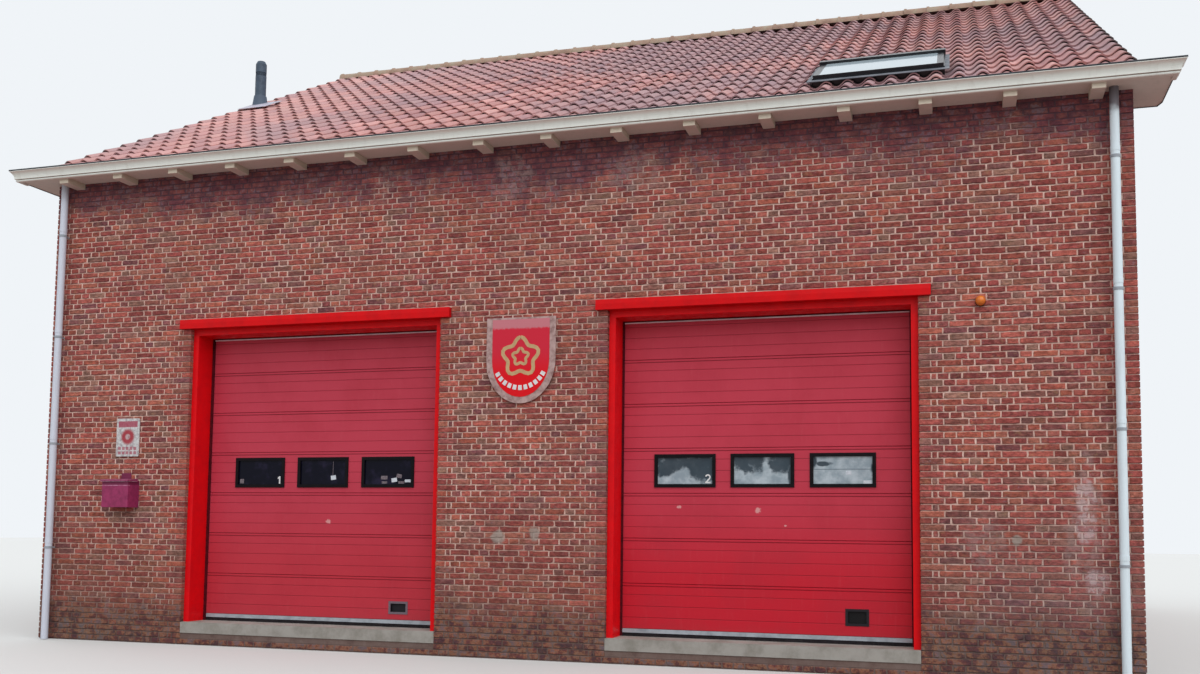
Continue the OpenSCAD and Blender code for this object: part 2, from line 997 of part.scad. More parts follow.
module flue_flashing() {
  z0 = roof_z(flue_y, 0);
  color([0.42, 0.46, 0.52])
    difference() {
      union() {
        translate([xl(flue_x), yf + flue_y, z0 - 70])
          cylinder(r1 = flue_r + 42, r2 = flue_r + 12, h = 200, $fn = 64);
        on_slope(flue_x, flue_y)
          translate([-230, -260, seat_gap])
            cube([460, 520, 6]);
      }
      translate([xl(flue_x), yf + flue_y, z0 - 400])
        cylinder(r = flue_r, h = 900, $fn = 64);
      on_slope(flue_x, flue_y)
        translate([-400, -400, seat_gap - 300])
          cube([800, 800, 300]);
    }
}

roofwin_x = 9500;
roofwin_y = 930;
curb_up = 20;
sash_t = 30;
sash_b = 75;
hood_l = 110;

module roof_cutouts() {
  on_slope(roofwin_x, roofwin_y)
    translate([-roofwin_w / 2, -roofwin_l / 2, -tile_build - deck_t - 200])
      cube([roofwin_w, roofwin_l, tile_build + deck_t + 400]);
  translate([xl(flue_x), yf + flue_y, roof_z(flue_y, 0) - 600])
    cylinder(r = flue_r, h = 900, $fn = 64);
}

module slope_ring(w, l, b, z0, z1) {
  difference() {
    translate([-w / 2, -l / 2, z0])
      cube([w, l, z1 - z0]);
    translate([-w / 2 + b, -l / 2 + b, z0 - 1])
      cube([w - 2 * b, l - 2 * b, z1 - z0 + 2]);
  }
}

module roof_window_frame() {
  color([0.70, 0.72, 0.73])
    on_slope(roofwin_x, roofwin_y)
      slope_ring(roofwin_w, roofwin_l, 60, -tile_build - deck_t, curb_up);
}

// The pane lies over the lower rail and runs up under the hood.
module roof_window_pane() {
  translate([-roofwin_w / 2 + sash_b, -roofwin_l / 2 + 16, curb_up + sash_t - 18])
    cube([roofwin_w - 2 * sash_b, roofwin_l - 16 - hood_l + 20, 18]);
}

module roof_window_sash() {
  color([0.22, 0.24, 0.26])
    on_slope(roofwin_x, roofwin_y)
      difference() {
        union() {
          slope_ring(roofwin_w - 20, roofwin_l - 20, sash_b + 15, curb_up, curb_up + sash_t);
          translate([-roofwin_w / 2 - 5, roofwin_l / 2 - hood_l, curb_up])
            cube([roofwin_w + 10, hood_l, sash_t + 28]);
        }
        roof_window_pane();
      }
}

module roof_window_glass() {
  color([0.60, 0.70, 0.74, 0.5])
    on_slope(roofwin_x, roofwin_y)
      roof_window_pane();
}

module roof_window_flashing() {
  color([0.40, 0.42, 0.45])
    on_slope(roofwin_x, roofwin_y)
      difference() {
        translate([-roofwin_w / 2 - 45, -roofwin_l / 2 - 110, seat_gap])
          cube([roofwin_w + 90, roofwin_l + 170, 6]);
        translate([-roofwin_w / 2, -roofwin_l / 2, -1])
          cube([roofwin_w, roofwin_l, 10]);
      }
}

floor_slab();
front_wall();
rear_wall();
left_gable_wall();
right_gable_wall();
roof_deck_front();
roof_deck_rear();
tile_field_front();
tile_field_rear();
ridge_tiles();
front_cornice();
rear_cornice();
front_gutter_lining();
rear_gutter_lining();
front_corbels();
rear_corbels();
front_downpipes();
rear_downpipes();
downpipe_clips();
door_1_lintel();
door_2_lintel();
door_1_frame();
door_2_frame();
door_1_leaf();
door_2_leaf();
door_bottom_rails();
door_bottom_seals();
door_side_seals();
door_window_frames();
door_window_glass();
door_1_grip();
door_2_grip();
door_thresholds();
shield_plate();
shield_field();
sign_plate();
mailbox_body();
mailbox_lid();
lamp_base();
lamp_dome();
flue_pipe();
flue_flashing();
roof_window_frame();
roof_window_sash();
roof_window_glass();
roof_window_flashing();
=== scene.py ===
"""Two-bay brick fire station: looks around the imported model, in metres, front towards -Y."""
import math
import random

import bpy
from mathutils import Matrix, Vector


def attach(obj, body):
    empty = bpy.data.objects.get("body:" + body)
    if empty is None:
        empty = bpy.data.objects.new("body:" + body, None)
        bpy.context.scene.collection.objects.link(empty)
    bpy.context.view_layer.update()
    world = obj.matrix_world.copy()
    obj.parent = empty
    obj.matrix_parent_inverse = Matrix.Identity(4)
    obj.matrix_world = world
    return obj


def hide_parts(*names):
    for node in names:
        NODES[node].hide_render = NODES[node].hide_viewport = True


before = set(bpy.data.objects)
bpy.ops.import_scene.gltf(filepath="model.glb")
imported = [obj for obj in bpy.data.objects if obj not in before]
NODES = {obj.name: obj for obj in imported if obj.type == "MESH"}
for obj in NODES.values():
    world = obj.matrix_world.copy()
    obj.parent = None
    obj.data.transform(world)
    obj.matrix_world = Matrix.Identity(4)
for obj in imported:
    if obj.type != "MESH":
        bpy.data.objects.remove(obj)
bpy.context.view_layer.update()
ROOT = "building"
SCENE = bpy.context.scene


def add_object(name, data):
    obj = bpy.data.objects.new(name, data)
    SCENE.collection.objects.link(obj)
    return obj


# ---------------------------------------------------------------- camera

CAM_AT = (4.34, -17.90, 1.302)
CAM_YAW, CAM_PITCH, CAM_ROLL = (math.radians(a) for a in (17.01, -4.42, 0.65))
CAM_LENS, CAM_SENSOR, CAM_SHIFT = 35.2, 36.0, 0.0867


def turn(axis, angle):
    return Matrix.Rotation(angle, 3, axis)


camera_data = bpy.data.cameras.new("camera")
camera = add_object("camera", camera_data)
camera_data.sensor_width = CAM_SENSOR
camera_data.sensor_fit = "HORIZONTAL"
camera_data.lens = CAM_LENS
camera_data.shift_y = CAM_SHIFT
camera_data.clip_end = 400.0
look = Matrix(((1, 0, 0), (0, 0, -1), (0, 1, 0)))
world_to_cam = turn("Z", CAM_ROLL) @ turn("X", CAM_PITCH) @ turn("Y", CAM_YAW) @ look
cam_to_world = world_to_cam.transposed() @ Matrix(((1, 0, 0), (0, -1, 0), (0, 0, -1)))
camera.matrix_world = Matrix.Translation(CAM_AT) @ cam_to_world.to_4x4()
SCENE.camera = camera

# ---------------------------------------------------------------- sizes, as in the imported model

WALL_L, WALL_D = 11.780, 13.300
X0, YF = -WALL_L / 2, -WALL_D / 2  # left corner and front face
ZT = 0.250  # thresholds, above the walls' foot
ZS = ZT + 5.088  # soffit
PITCH = math.radians(28.5)
TAN, COS, SIN = math.tan(PITCH), math.cos(PITCH), math.sin(PITCH)
CREST0 = ZS + 0.297  # crest plane of the tiles over the wall face
TILES, DECK = 0.100, 0.060  # build-up of the roof, square to the slope
DOORS = ((1.922, 3.084), (6.858, 3.028))  # left edge from the left corner, width
DOOR_H, LINTEL_H, BEARING = 3.290, 0.105, 0.120
FRAME_W, LEAF_Y = 0.066, 0.335
COURSE, BED_JOINT, HEAD_JOINT = 0.0609, 0.0105, 0.0125
MODULE = 0.1105  # a header with its joint


def crest(y_in, v=0.0):
    """Height of the tile plane y_in behind the wall face, v below it (square to the slope)."""
    return CREST0 + y_in * TAN - v / COS


# ---------------------------------------------------------------- shader helpers

def lin(r, g, b):
    """Linear colour from 0-255 display values."""
    def f(c):
        c /= 255.0
        return c / 12.92 if c <= 0.04045 else ((c + 0.055) / 1.055) ** 2.4
    return (f(r), f(g), f(b), 1.0)


class Nodes:
    """A small builder for the node tree of a material or a world."""

    def __init__(self, owner):
        owner.use_nodes = True
        self.tree = owner.node_tree
        self.tree.nodes.clear()

    def node(self, kind, **props):
        n = self.tree.nodes.new(kind)
        for k, v in props.items():
            setattr(n, k, v)
        return n

    def put(self, socket, value):
        if isinstance(value, bpy.types.NodeSocket):
            self.tree.links.new(value, socket)
        else:
            socket.default_value = value

    def feed(self, n, *first, **named):
        """Fills a node's first inputs in their order and others by name; gives its outputs."""
        for key, value in [*enumerate(first), *named.items()]:
            self.put(n.inputs[key], value)
        return n.outputs

    def part(self, vector, name):
        return self.feed(self.node("ShaderNodeSeparateXYZ"), vector)[name]

    def calc(self, op, a, b=0.0):
        return self.feed(self.node("ShaderNodeMath", operation=op), a, b)[0]

    def mul(self, a, b):
        return self.calc("MULTIPLY", a, b)

    def add(self, a, b):
        return self.calc("ADD", a, b)

    def sub(self, a, b):
        return self.calc("SUBTRACT", a, b)

    def most(self, a, b):
        return self.calc("MAXIMUM", a, b)

    def gap(self, a, b):
        """Distance between two values."""
        return self.calc("ABSOLUTE", self.sub(a, b))

    def band(self, value, low, high, to0=0.0, to1=1.0, curve="SMOOTHSTEP"):
        """Step from to0 at low to to1 at high."""
        n = self.node("ShaderNodeMapRange", interpolation_type=curve)
        return self.feed(n, value, low, high, to0, to1)["Result"]


class Shade(Nodes):
    """A material on the model's own coordinates."""

    def __init__(self, name):
        self.mat = bpy.data.materials.new(name)
        super().__init__(self.mat)
        self.bsdf = self.node("ShaderNodeBsdfPrincipled")
        self.feed(self.node("ShaderNodeOutputMaterial"), self.bsdf.outputs[0])
        self.xyz = self.node("ShaderNodeTexCoord").outputs["Object"]

    def axis(self, name):
        return self.part(self.xyz, name)

    def attr(self, name):
        return self.node("ShaderNodeAttribute", attribute_name=name).outputs["Fac"]

    def stretch(self, x, y, z):
        return self.feed(self.node("ShaderNodeMapping"), Vector=self.xyz, Scale=(x, y, z))[0]

    def noise(self, scale, detail=3.0, rough=0.55, vector=None, distortion=0.0):
        return self.feed(self.node("ShaderNodeTexNoise"), Vector=vector or self.xyz, Scale=scale, Detail=detail,
                         Roughness=rough, Distortion=distortion)["Fac"]

    def ripple(self, scale, detail, rough, size):
        """Noise around zero."""
        return self.mul(self.sub(self.noise(scale, detail, rough), 0.5), size)

    def within(self, value, low, high, soft):
        """1 between low and high, with soft edges inside them."""
        return self.mul(self.band(value, low, low + soft), self.band(value, high, high - soft))

    def spot(self, x, z, rx, rz, wobble):
        """1 inside a soft ellipse on the front, 0 outside."""
        dx = self.calc("DIVIDE", self.sub(self.axis("X"), x), rx)
        dz = self.calc("DIVIDE", self.sub(self.axis("Z"), z), rz)
        return self.band(self.add(self.add(self.mul(dx, dx), self.mul(dz, dz)), wobble), 1.0, 0.35)

    def spots(self, places, wobble):
        """The strongest of several soft ellipses on the front."""
        total = self.spot(*places[0], wobble)
        for place in places[1:]:
            total = self.most(total, self.spot(*place, wobble))
        return total

    def mix(self, fac, a, b, blend="MIX"):
        n = self.node("ShaderNodeMix", data_type="RGBA", blend_type=blend)
        self.put(n.inputs[0], fac)
        self.put(n.inputs[6], a)
        self.put(n.inputs[7], b)
        return n.outputs[2]

    def over(self, col, cover, strength, paint):
        """Lays a paint, in display values, over a colour."""
        return self.mix(self.mul(cover, strength), col, lin(*paint))

    def ramp(self, fac, *stops):
        """Colours in display values, each after its position."""
        n = self.node("ShaderNodeValToRGB")
        self.put(n.inputs[0], fac)
        els = n.color_ramp.elements
        while len(els) < len(stops):
            els.new(0.5)
        for e, (pos, *paint) in zip(els, stops):
            e.position = pos
            e.color = lin(*paint)
        return n.outputs[0]

    def bump(self, height, distance, strength=1.0):
        n = self.node("ShaderNodeBump")
        self.put(self.bsdf.inputs["Normal"], self.feed(n, Strength=strength, Distance=distance, Height=height)[0])

    def done(self, color, rough, spec):
        self.put(self.bsdf.inputs["Base Color"], color)
        self.put(self.bsdf.inputs["Roughness"], rough)
        self.put(self.bsdf.inputs["Specular IOR Level"], spec)
        return self.mat


# ---------------------------------------------------------------- materials

# soft ellipses on the front: x, z, half width, half height
SALTS = ((1.26, 5.03, 0.36, 0.30), (-1.57, 5.02, 0.15, 0.24), (-0.10, 5.02, 0.24, 0.26), (5.42, 1.45, 0.20, 0.85),
         (4.55, 1.25, 0.20, 0.30))
BLOOM = ((5.42, 1.68, 0.10, 0.16), (5.42, 1.38, 0.09, 0.14), (5.50, 0.92, 0.12, 0.13))
CEMENT = ((-0.19, 1.235, 0.085, 0.085), (0.21, 1.270, 0.070, 0.080), (4.84, 1.270, 0.052, 0.058))
SCUFFS = ((-2.34, 1.38, 0.036, 0.026), (1.64, 1.56, 0.026, 0.020), (2.44, 1.53, 0.034, 0.034),
          (2.71, 1.38, 0.014, 0.012))
PANE_DARK = ((1.60, 2.03, 0.30, 0.13), (1.88, 1.96, 0.19, 0.18), (1.48, 1.93, 0.13, 0.08),
             (2.345, 2.040, 0.205, 0.165), (2.650, 2.000, 0.165, 0.120), (2.775, 1.880, 0.050, 0.130),
             (3.600, 1.920, 0.080, 0.110), (2.985, 2.010, 0.040, 0.080), (3.080, 1.990, 0.090, 0.028))
PANE_LINE = 1.935
# flecks in the bricks: noise scale, stretch, start of the step, strength, paint
FLECKS = ((13.0, (1.0, 1.0, 1.6), 0.56, 0.34, (170, 134, 96)), (17.0, (-1.0, 1.0, 1.5), 0.57, 0.34, (158, 132, 142)),
          (23.0, (0.8, -1.0, 1.7), 0.58, 0.55, (78, 42, 44)))
# the sign's print: heights of the bar and the rows, ends of both, block length, disc centre
SIGN_BAR, SIGN_ROWS = (2.432, 2.508), ((2.172, 2.214), (2.122, 2.160))
SIGN_ENDS, SIGN_BLOCK, SIGN_DISC = (-4.890, -4.625), 0.052, (-4.757, 2.325)
LID_EDGE = 1.807  # lower edge of the mailbox lid


def eave_shade_and_soot(s):
    """Sooty dirt with painted shade that hangs under the eaves, as a factor."""
    wander = s.add(s.mul(s.noise(0.8, 4.0, 0.65), 1.20), s.noise(4.0, 5.0, 0.7, s.stretch(1.3, 1.0, 0.7)))
    inwards = s.sub(WALL_D / 2, s.calc("ABSOLUTE", s.axis("Y")))
    under_roof = s.sub(s.axis("Z"), s.mul(inwards, TAN))
    return s.band(s.add(under_roof, wander), ZT + 5.50, ZT + 5.98)


def grime_foot(s):
    """Splashed dirt along the walls' foot, as a factor."""
    wander = s.mul(s.noise(2.1, 4.0, 0.6), 0.55)
    fall = s.mul(s.axis("X"), -0.012)
    return s.band(s.add(s.add(s.axis("Z"), fall), wander), ZT + 0.75, ZT + 0.30)


def weathering(s, col, shade_and_soot, shade_and_soot_mix, foot, foot_mix):
    """Sooty dirt with painted shade under the eaves, grime, salts and cement patches, the same over bricks and
    joints.
    """
    side = s.band(s.gap(s.axis("X"), -0.2), 3.6, 5.2, 0.20, 0.36)
    damp = s.band(s.add(s.axis("Z"), s.mul(s.noise(1.3, 4.0, 0.65), 0.9)), ZT + 2.1, ZT + 0.7)
    silt = s.mix(s.band(s.axis("X"), 3.6, 5.0), lin(100, 66, 52), lin(98, 92, 96))
    col = s.mix(s.mul(damp, side), col, silt)
    # darkening under the eaves: painted shade mixed with sooty dirt
    col = s.mix(s.mul(eave_shade_and_soot(s), shade_and_soot_mix), col, shade_and_soot)
    col = s.mix(s.mul(grime_foot(s), foot_mix), col, foot)
    wobble = s.ripple(3.1, 5.0, 0.65, 3.2)
    speck = s.band(s.noise(12.0, 5.0, 0.75), 0.44, 0.58, 0.05, 1.0)
    front = s.band(s.axis("Y"), YF + 0.30, YF + 0.20)
    salt = s.mul(s.mul(s.spots(SALTS, wobble), speck), front)
    col = s.over(col, salt, 0.34, (168, 148, 144))
    bloom = s.mul(s.mul(s.spots(BLOOM, wobble), s.band(speck, 0.0, 1.0, 0.35, 1.0)), front)
    col = s.over(col, bloom, 0.50, (206, 188, 190))
    patch = s.mul(s.spots(CEMENT, s.ripple(14.0, 3.0, 0.6, 1.6)), front)
    return s.over(col, patch, 0.75, (158, 150, 142))


def make_brick():
    """Hand-made brick: a body colour for each, clouded, flecked and filmed within its own face."""
    s = Shade("brick")
    lot = s.add(s.mul(s.attr("lot"), 0.76), s.mul(s.noise(0.8, 3.0, 0.6), 0.24))
    col = s.ramp(lot, (0.10, 160, 82, 74), (0.20, 146, 71, 68), (0.30, 168, 90, 79), (0.40, 152, 77, 72),
                 (0.48, 138, 69, 67), (0.56, 168, 90, 74), (0.64, 156, 98, 84), (0.71, 134, 72, 72),
                 (0.78, 148, 108, 94), (0.84, 126, 74, 78), (0.92, 176, 100, 82))
    shade = s.band(s.attr("shade"), 0.0, 1.0, 0.80, 1.17)
    fine = s.band(s.noise(46.0, 6.0, 0.74, s.stretch(0.6, 0.6, 1.4)), 0.28, 0.72, 0.48, 1.46)
    grain = s.band(s.noise(19.0, 5.0, 0.65), 0.3, 0.7, 0.82, 1.16)
    col = s.mix(1.0, col, s.mul(s.mul(shade, fine), grain), "MULTIPLY")
    col = s.mix(s.band(s.noise(0.55, 4.0, 0.6), 0.55, 0.75, 0.0, 0.22), col, lin(118, 84, 84))
    for scale, pull, start, strength, paint in FLECKS:
        fleck = s.band(s.noise(scale, 5.0, 0.72, s.stretch(*pull)), start, 0.68)
        col = s.over(col, fleck, strength, paint)
    film = s.band(s.noise(11.0, 6.0, 0.75), 0.54, 0.70)
    col = s.over(col, film, 0.12, (200, 166, 154))
    # colours of the painted shade with sooty dirt under the eaves
    blotch = s.ramp(s.noise(8.0, 5.0, 0.7), (0.34, 72, 50, 66), (0.46, 98, 64, 78), (0.53, 130, 76, 76),
                    (0.60, 114, 106, 124), (0.68, 134, 80, 74))
    foot = s.ramp(s.noise(9.0, 5.0, 0.72), (0.38, 50, 48, 58), (0.46, 84, 58, 56), (0.53, 138, 100, 74),
                  (0.60, 98, 96, 100))
    col = weathering(s, col, blotch, 0.70, foot, 0.72)
    s.bump(s.add(s.noise(140.0, 6.0, 0.7), s.mul(s.noise(32.0, 3.0), 1.6)), 0.005)
    return s.done(col, 0.9, 0.2)


def make_mortar():
    """Pale in the upright joints; painted shadow from the brick above darkens the upper half of the bed joints,
    unevenly.
    """
    s = Shade("mortar")
    col = s.ramp(s.noise(9.0, 6.0, 0.72), (0.28, 150, 114, 106), (0.44, 206, 169, 156), (0.70, 236, 206, 194))
    rise = s.calc("FRACT", s.calc("DIVIDE", s.sub(s.axis("Z"), ZT), COURSE))
    # painted shadow under each brick's lower edge, in the upper half of the bed joint; its strength varies with noise
    bed = s.band(rise, 0.10, 0.05)
    worn = s.band(s.noise(5.0, 5.0, 0.7, s.stretch(1.0, 1.0, 0.4)), 0.34, 0.60, 0.95, 0.45)
    col = s.over(col, bed, worn, (70, 40, 38))
    dirt = s.band(s.noise(1.0, 4.0, 0.6), 0.48, 0.72)
    col = s.over(col, dirt, 0.35, (140, 104, 98))
    # lin(88, 62, 74) is the painted shade with sooty dirt under the eaves
    col = weathering(s, col, lin(88, 62, 74), 0.96, lin(72, 62, 60), 0.80)
    s.bump(s.noise(220.0, 5.0, 0.7), 0.003, 0.8)
    return s.done(col, 0.95, 0.15)


def make_inner_brick():
    """Pale painted brickwork inside."""
    s = Shade("inner_brick")
    col = s.mix(s.noise(30.0, 4.0), lin(188, 182, 172), lin(206, 201, 190))
    s.bump(s.noise(60.0, 4.0), 0.003)
    return s.done(col, 0.9, 0.2)


def make_tile():
    """Smooth clay, salmon where it is clean and grey where it has weathered."""
    s = Shade("roof_tile")
    col = s.ramp(s.attr("lot"), (0.0, 192, 144, 139), (0.25, 186, 136, 132), (0.5, 200, 151, 146),
                 (0.7, 184, 135, 134), (0.88, 173, 131, 133), (1.0, 204, 156, 149))
    shade = s.band(s.attr("shade"), 0.0, 1.0, 0.88, 1.08)
    fine = s.band(s.noise(30.0, 5.0, 0.65), 0.25, 0.75, 0.92, 1.07)
    col = s.mix(1.0, col, s.mul(shade, fine), "MULTIPLY")
    x = s.axis("X")
    middle = s.band(s.gap(x, 1.2), 3.6, 0.6, 0.0, 0.10)
    old = s.band(s.add(s.noise(0.42, 4.0, 0.6, distortion=0.8), middle), 0.42, 0.62)
    col = s.over(col, old, 0.56, (144, 130, 138))
    col = s.mix(s.band(x, -1.5, -5.5, 0.0, 0.20), col, lin(222, 178, 174))
    stain = s.band(s.noise(2.6, 5.0, 0.7, s.stretch(1.6, 0.6, 0.6)), 0.52, 0.70)
    col = s.over(col, stain, 0.34, (128, 106, 112))
    verge = s.add(s.calc("ABSOLUTE", x), s.mul(s.noise(6.0, 3.0), 0.05))
    col = s.over(col, s.band(verge, WALL_L / 2 + 0.010, WALL_L / 2 + 0.060), 0.72, (82, 84, 84))
    s.bump(s.noise(120.0, 5.0, 0.7), 0.002, 0.5)
    return s.done(col, 0.78, 0.3)


def make_ridge():
    """Older clay with a little moss."""
    s = Shade("ridge_tile")
    col = s.ramp(s.noise(4.0, 5.0, 0.7), (0.3, 138, 112, 100), (0.5, 160, 134, 118), (0.7, 162, 154, 136))
    moss = s.band(s.noise(13.0, 5.0, 0.75), 0.50, 0.68)
    col = s.over(col, moss, 0.5, (152, 148, 126))
    s.bump(s.noise(90.0, 5.0, 0.7), 0.004, 0.8)
    return s.done(col, 0.9, 0.2)


def make_cream(name, clean, chalky):
    """Old oil paint on the cornice: paler on the front, with a painted warm shade on faces turned downwards."""
    s = Shade(name)
    col = s.mix(s.noise(2.2, 5.0, 0.6), lin(*clean), lin(*chalky))
    facing = s.part(s.node("ShaderNodeNewGeometry").outputs["Normal"], "Z")
    # faces turned downwards get a painted warm shade
    col = s.over(col, s.band(facing, -0.4, -0.9), 0.85, (222, 198, 190))
    streak = s.band(s.noise(5.0, 6.0, 0.7, s.stretch(3.0, 3.0, 0.4)), 0.48, 0.75)
    col = s.over(col, streak, 0.24, (176, 168, 156))
    chip = s.band(s.noise(26.0, 5.0, 0.8), 0.68, 0.74)
    col = s.over(col, chip, 0.5, (140, 130, 116))
    s.bump(s.noise(60.0, 4.0, 0.6, s.stretch(0.3, 0.3, 1.0)), 0.001, 0.5)
    return s.done(col, 0.55, 0.4)


def make_paint(name, base, worn, rough=0.35, wear=0.12, scale=6.0, grain=90.0, spec=0.5):
    """An even coat, clouded with its worn colour and a little dust."""
    s = Shade(name)
    col = s.mix(s.band(s.noise(scale, 5.0, 0.65), 0.35, 0.75), lin(*base), lin(*worn))
    dust = s.band(s.noise(scale * 5.0, 6.0, 0.75), 0.52, 0.80)
    col = s.over(col, dust, wear, (150, 140, 128))
    s.bump(s.noise(grain, 4.0, 0.6), 0.0008, 0.5)
    return s.done(col, s.band(s.noise(scale * 3.0, 4.0), 0.3, 0.7, rough * 0.85, min(1.0, rough * 1.3)), spec)


def make_pipe():
    """Grey plastic pipe, paler to the right and dark right under the soffit with sooty dirt and painted shade."""
    s = Shade("pipe_grey")
    side = s.band(s.axis("X"), -2.0, 2.0)
    col = s.mix(side, lin(203, 208, 221), lin(218, 231, 238))
    streak = s.band(s.noise(4.0, 6.0, 0.7, s.stretch(4.0, 4.0, 0.5)), 0.45, 0.75)
    col = s.over(col, streak, 0.30, (176, 180, 186))
    # painted shade of the soffit mixed with sooty dirt, stronger on the right
    shade_and_soot = s.band(s.add(s.axis("Z"), s.ripple(9.0, 4.0, 0.6, 0.12)), ZS - 0.27, ZS - 0.16)
    col = s.over(col, shade_and_soot, s.band(side, 0.0, 1.0, 0.25, 0.90), (84, 70, 78))
    s.bump(s.noise(90.0, 4.0, 0.6), 0.0008, 0.5)
    return s.done(col, 0.5, 0.35)


def make_door_red():
    """Coated steel skin with a fine embossing, paler towards the top, with a few scuffs and painted shade in its
    grooves.
    """
    s = Shade("door_red")
    z = s.axis("Z")
    second = s.band(s.axis("X"), -0.2, 0.2)
    low = s.mix(second, lin(186, 49, 63), lin(193, 26, 45))
    high = s.mix(second, lin(187, 58, 77), lin(190, 56, 75))
    col = s.mix(s.band(z, 0.7, 1.9), low, high)
    col = s.mix(s.band(s.noise(1.6, 5.0, 0.6), 0.4, 0.7, 0.0, 0.30), col, lin(164, 36, 52))
    rain = s.band(s.noise(9.0, 6.0, 0.7, s.stretch(3.0, 1.0, 0.35)), 0.52, 0.78)
    col = s.over(col, rain, 0.08, (196, 110, 116))
    col = s.over(col, s.spots(SCUFFS, s.ripple(38.0, 4.0, 0.7, 3.4)), 0.75, (214, 160, 158))
    foot = s.band(s.add(z, s.mul(s.noise(6.0, 5.0, 0.7), 0.3)), 0.62, 0.38)
    col = s.over(col, foot, 0.18, (120, 66, 62))
    # faces set in behind the leaf's face: painted shade in the grooves
    groove_shade = s.band(s.axis("Y"), YF + LEAF_Y + 0.0004, YF + LEAF_Y + 0.0018)
    col = s.over(col, groove_shade, 0.45, (96, 14, 26))
    s.bump(s.add(s.noise(420.0, 2.0, 0.6, s.stretch(0.25, 1.0, 1.0)), s.noise(30.0, 3.0)), 0.0006, 0.6)
    return s.done(col, 0.46, 0.22)


def make_pane():
    """Glass: nearly black painted shade behind the first door, a grey painted sky reflection with dark shapes behind
    the second.
    """
    s = Shade("door_pane")
    second = s.band(s.axis("X"), -0.2, 0.2)
    cloud = s.noise(5.5, 4.0, 0.6)
    # first door: painted shade of the dark room behind, clouded with faint painted reflection
    dark = s.mix(s.band(cloud, 0.46, 0.72), lin(11, 11, 26), lin(36, 32, 54))
    # second door: painted reflection of the sky; the dark shapes and a line are laid over it in the deep colour
    light = s.mix(s.band(s.noise(7.0, 4.0, 0.6), 0.35, 0.70), lin(140, 154, 163), lin(182, 193, 200))
    deep = s.mix(cloud, lin(22, 34, 44), lin(58, 72, 82))
    shapes = s.spots(PANE_DARK, s.ripple(11.0, 6.0, 0.65, 2.2))
    line = s.mul(s.band(s.gap(s.axis("Z"), PANE_LINE), 0.006, 0.002), s.band(s.axis("X"), 2.93, 2.96, 0.0, 0.55))
    col = s.mix(s.most(s.mul(shapes, 0.92), line), light, deep)
    return s.done(s.mix(second, dark, col), 0.10, 0.10)


def make_skylight():
    """Roof window glass with the sky in it."""
    s = Shade("roof_window_pane")
    return s.done(s.mix(s.noise(2.0, 3.0), lin(160, 176, 184), lin(184, 197, 204)), 0.08, 0.25)


def make_cladding():
    """Dark coated metal, glossy enough to carry the sky on faces seen edge-on."""
    s = Shade("roof_window_metal")
    s.put(s.bsdf.inputs["Coat Weight"], 0.18)
    s.put(s.bsdf.inputs["Coat Roughness"], 0.15)
    return s.done(s.mix(s.noise(6.0, 4.0, 0.6), lin(18, 21, 26), lin(30, 33, 38)), 0.30, 0.35)


def make_flashing():
    """Flue collar: dark like the pipe above, with a pale flange lying on the tiles."""
    s = Shade("flue_flashing")
    rise = s.mul(s.sub(s.axis("Y"), YF), TAN)
    collar = s.band(s.sub(s.sub(s.axis("Z"), CREST0), rise), 0.020, 0.035)
    col = s.mix(s.noise(12.0, 4.0, 0.6), lin(172, 170, 184), lin(196, 192, 204))
    return s.done(s.mix(collar, col, lin(76, 90, 106)), 0.55, 0.3)


def make_sign():
    """White plate with a plain red bar, a red disc and rows of plain blocks, all faded."""
    s = Shade("sign_print")
    col = s.mix(s.band(s.noise(24.0, 5.0, 0.7), 0.40, 0.65), lin(206, 206, 206), lin(156, 148, 152))
    x = s.axis("X")
    ragged = s.ripple(60.0, 4.0, 0.7, 0.020)
    z = s.add(s.axis("Z"), ragged)
    bar = s.within(z, *SIGN_BAR, 0.006)
    rows = s.most(*(s.within(z, *row, 0.004) for row in SIGN_ROWS))
    blocks = s.band(s.gap(s.calc("FRACT", s.calc("DIVIDE", x, SIGN_BLOCK)), 0.5), 0.40, 0.34)
    rows = s.mul(s.mul(rows, blocks), 0.85)
    marks = s.mul(s.most(bar, rows), s.within(x, *SIGN_ENDS, 0.006))
    disc = s.spot(*SIGN_DISC, 0.106, 0.106, s.mul(ragged, 8.0))
    hub = s.spot(*SIGN_DISC, 0.040, 0.040, s.mul(ragged, 30.0))
    col = s.over(col, marks, 0.84, (158, 36, 70))
    col = s.over(col, s.sub(disc, s.mul(hub, 0.55)), 0.92, (158, 14, 40))
    return s.done(col, 0.42, 0.3)


def make_shield_field():
    """Red enamel, bleached along the top."""
    s = Shade("shield_red")
    z = s.axis("Z")
    col = s.mix(s.band(z, ZT + 2.60, ZT + 2.95), lin(216, 6, 22), lin(202, 36, 58))
    faded = s.band(s.add(z, s.ripple(40.0, 5.0, 0.75, 0.06)), ZT + 3.125, ZT + 3.150)
    return s.done(s.over(col, faded, 0.62, (190, 144, 152)), 0.35, 0.18)


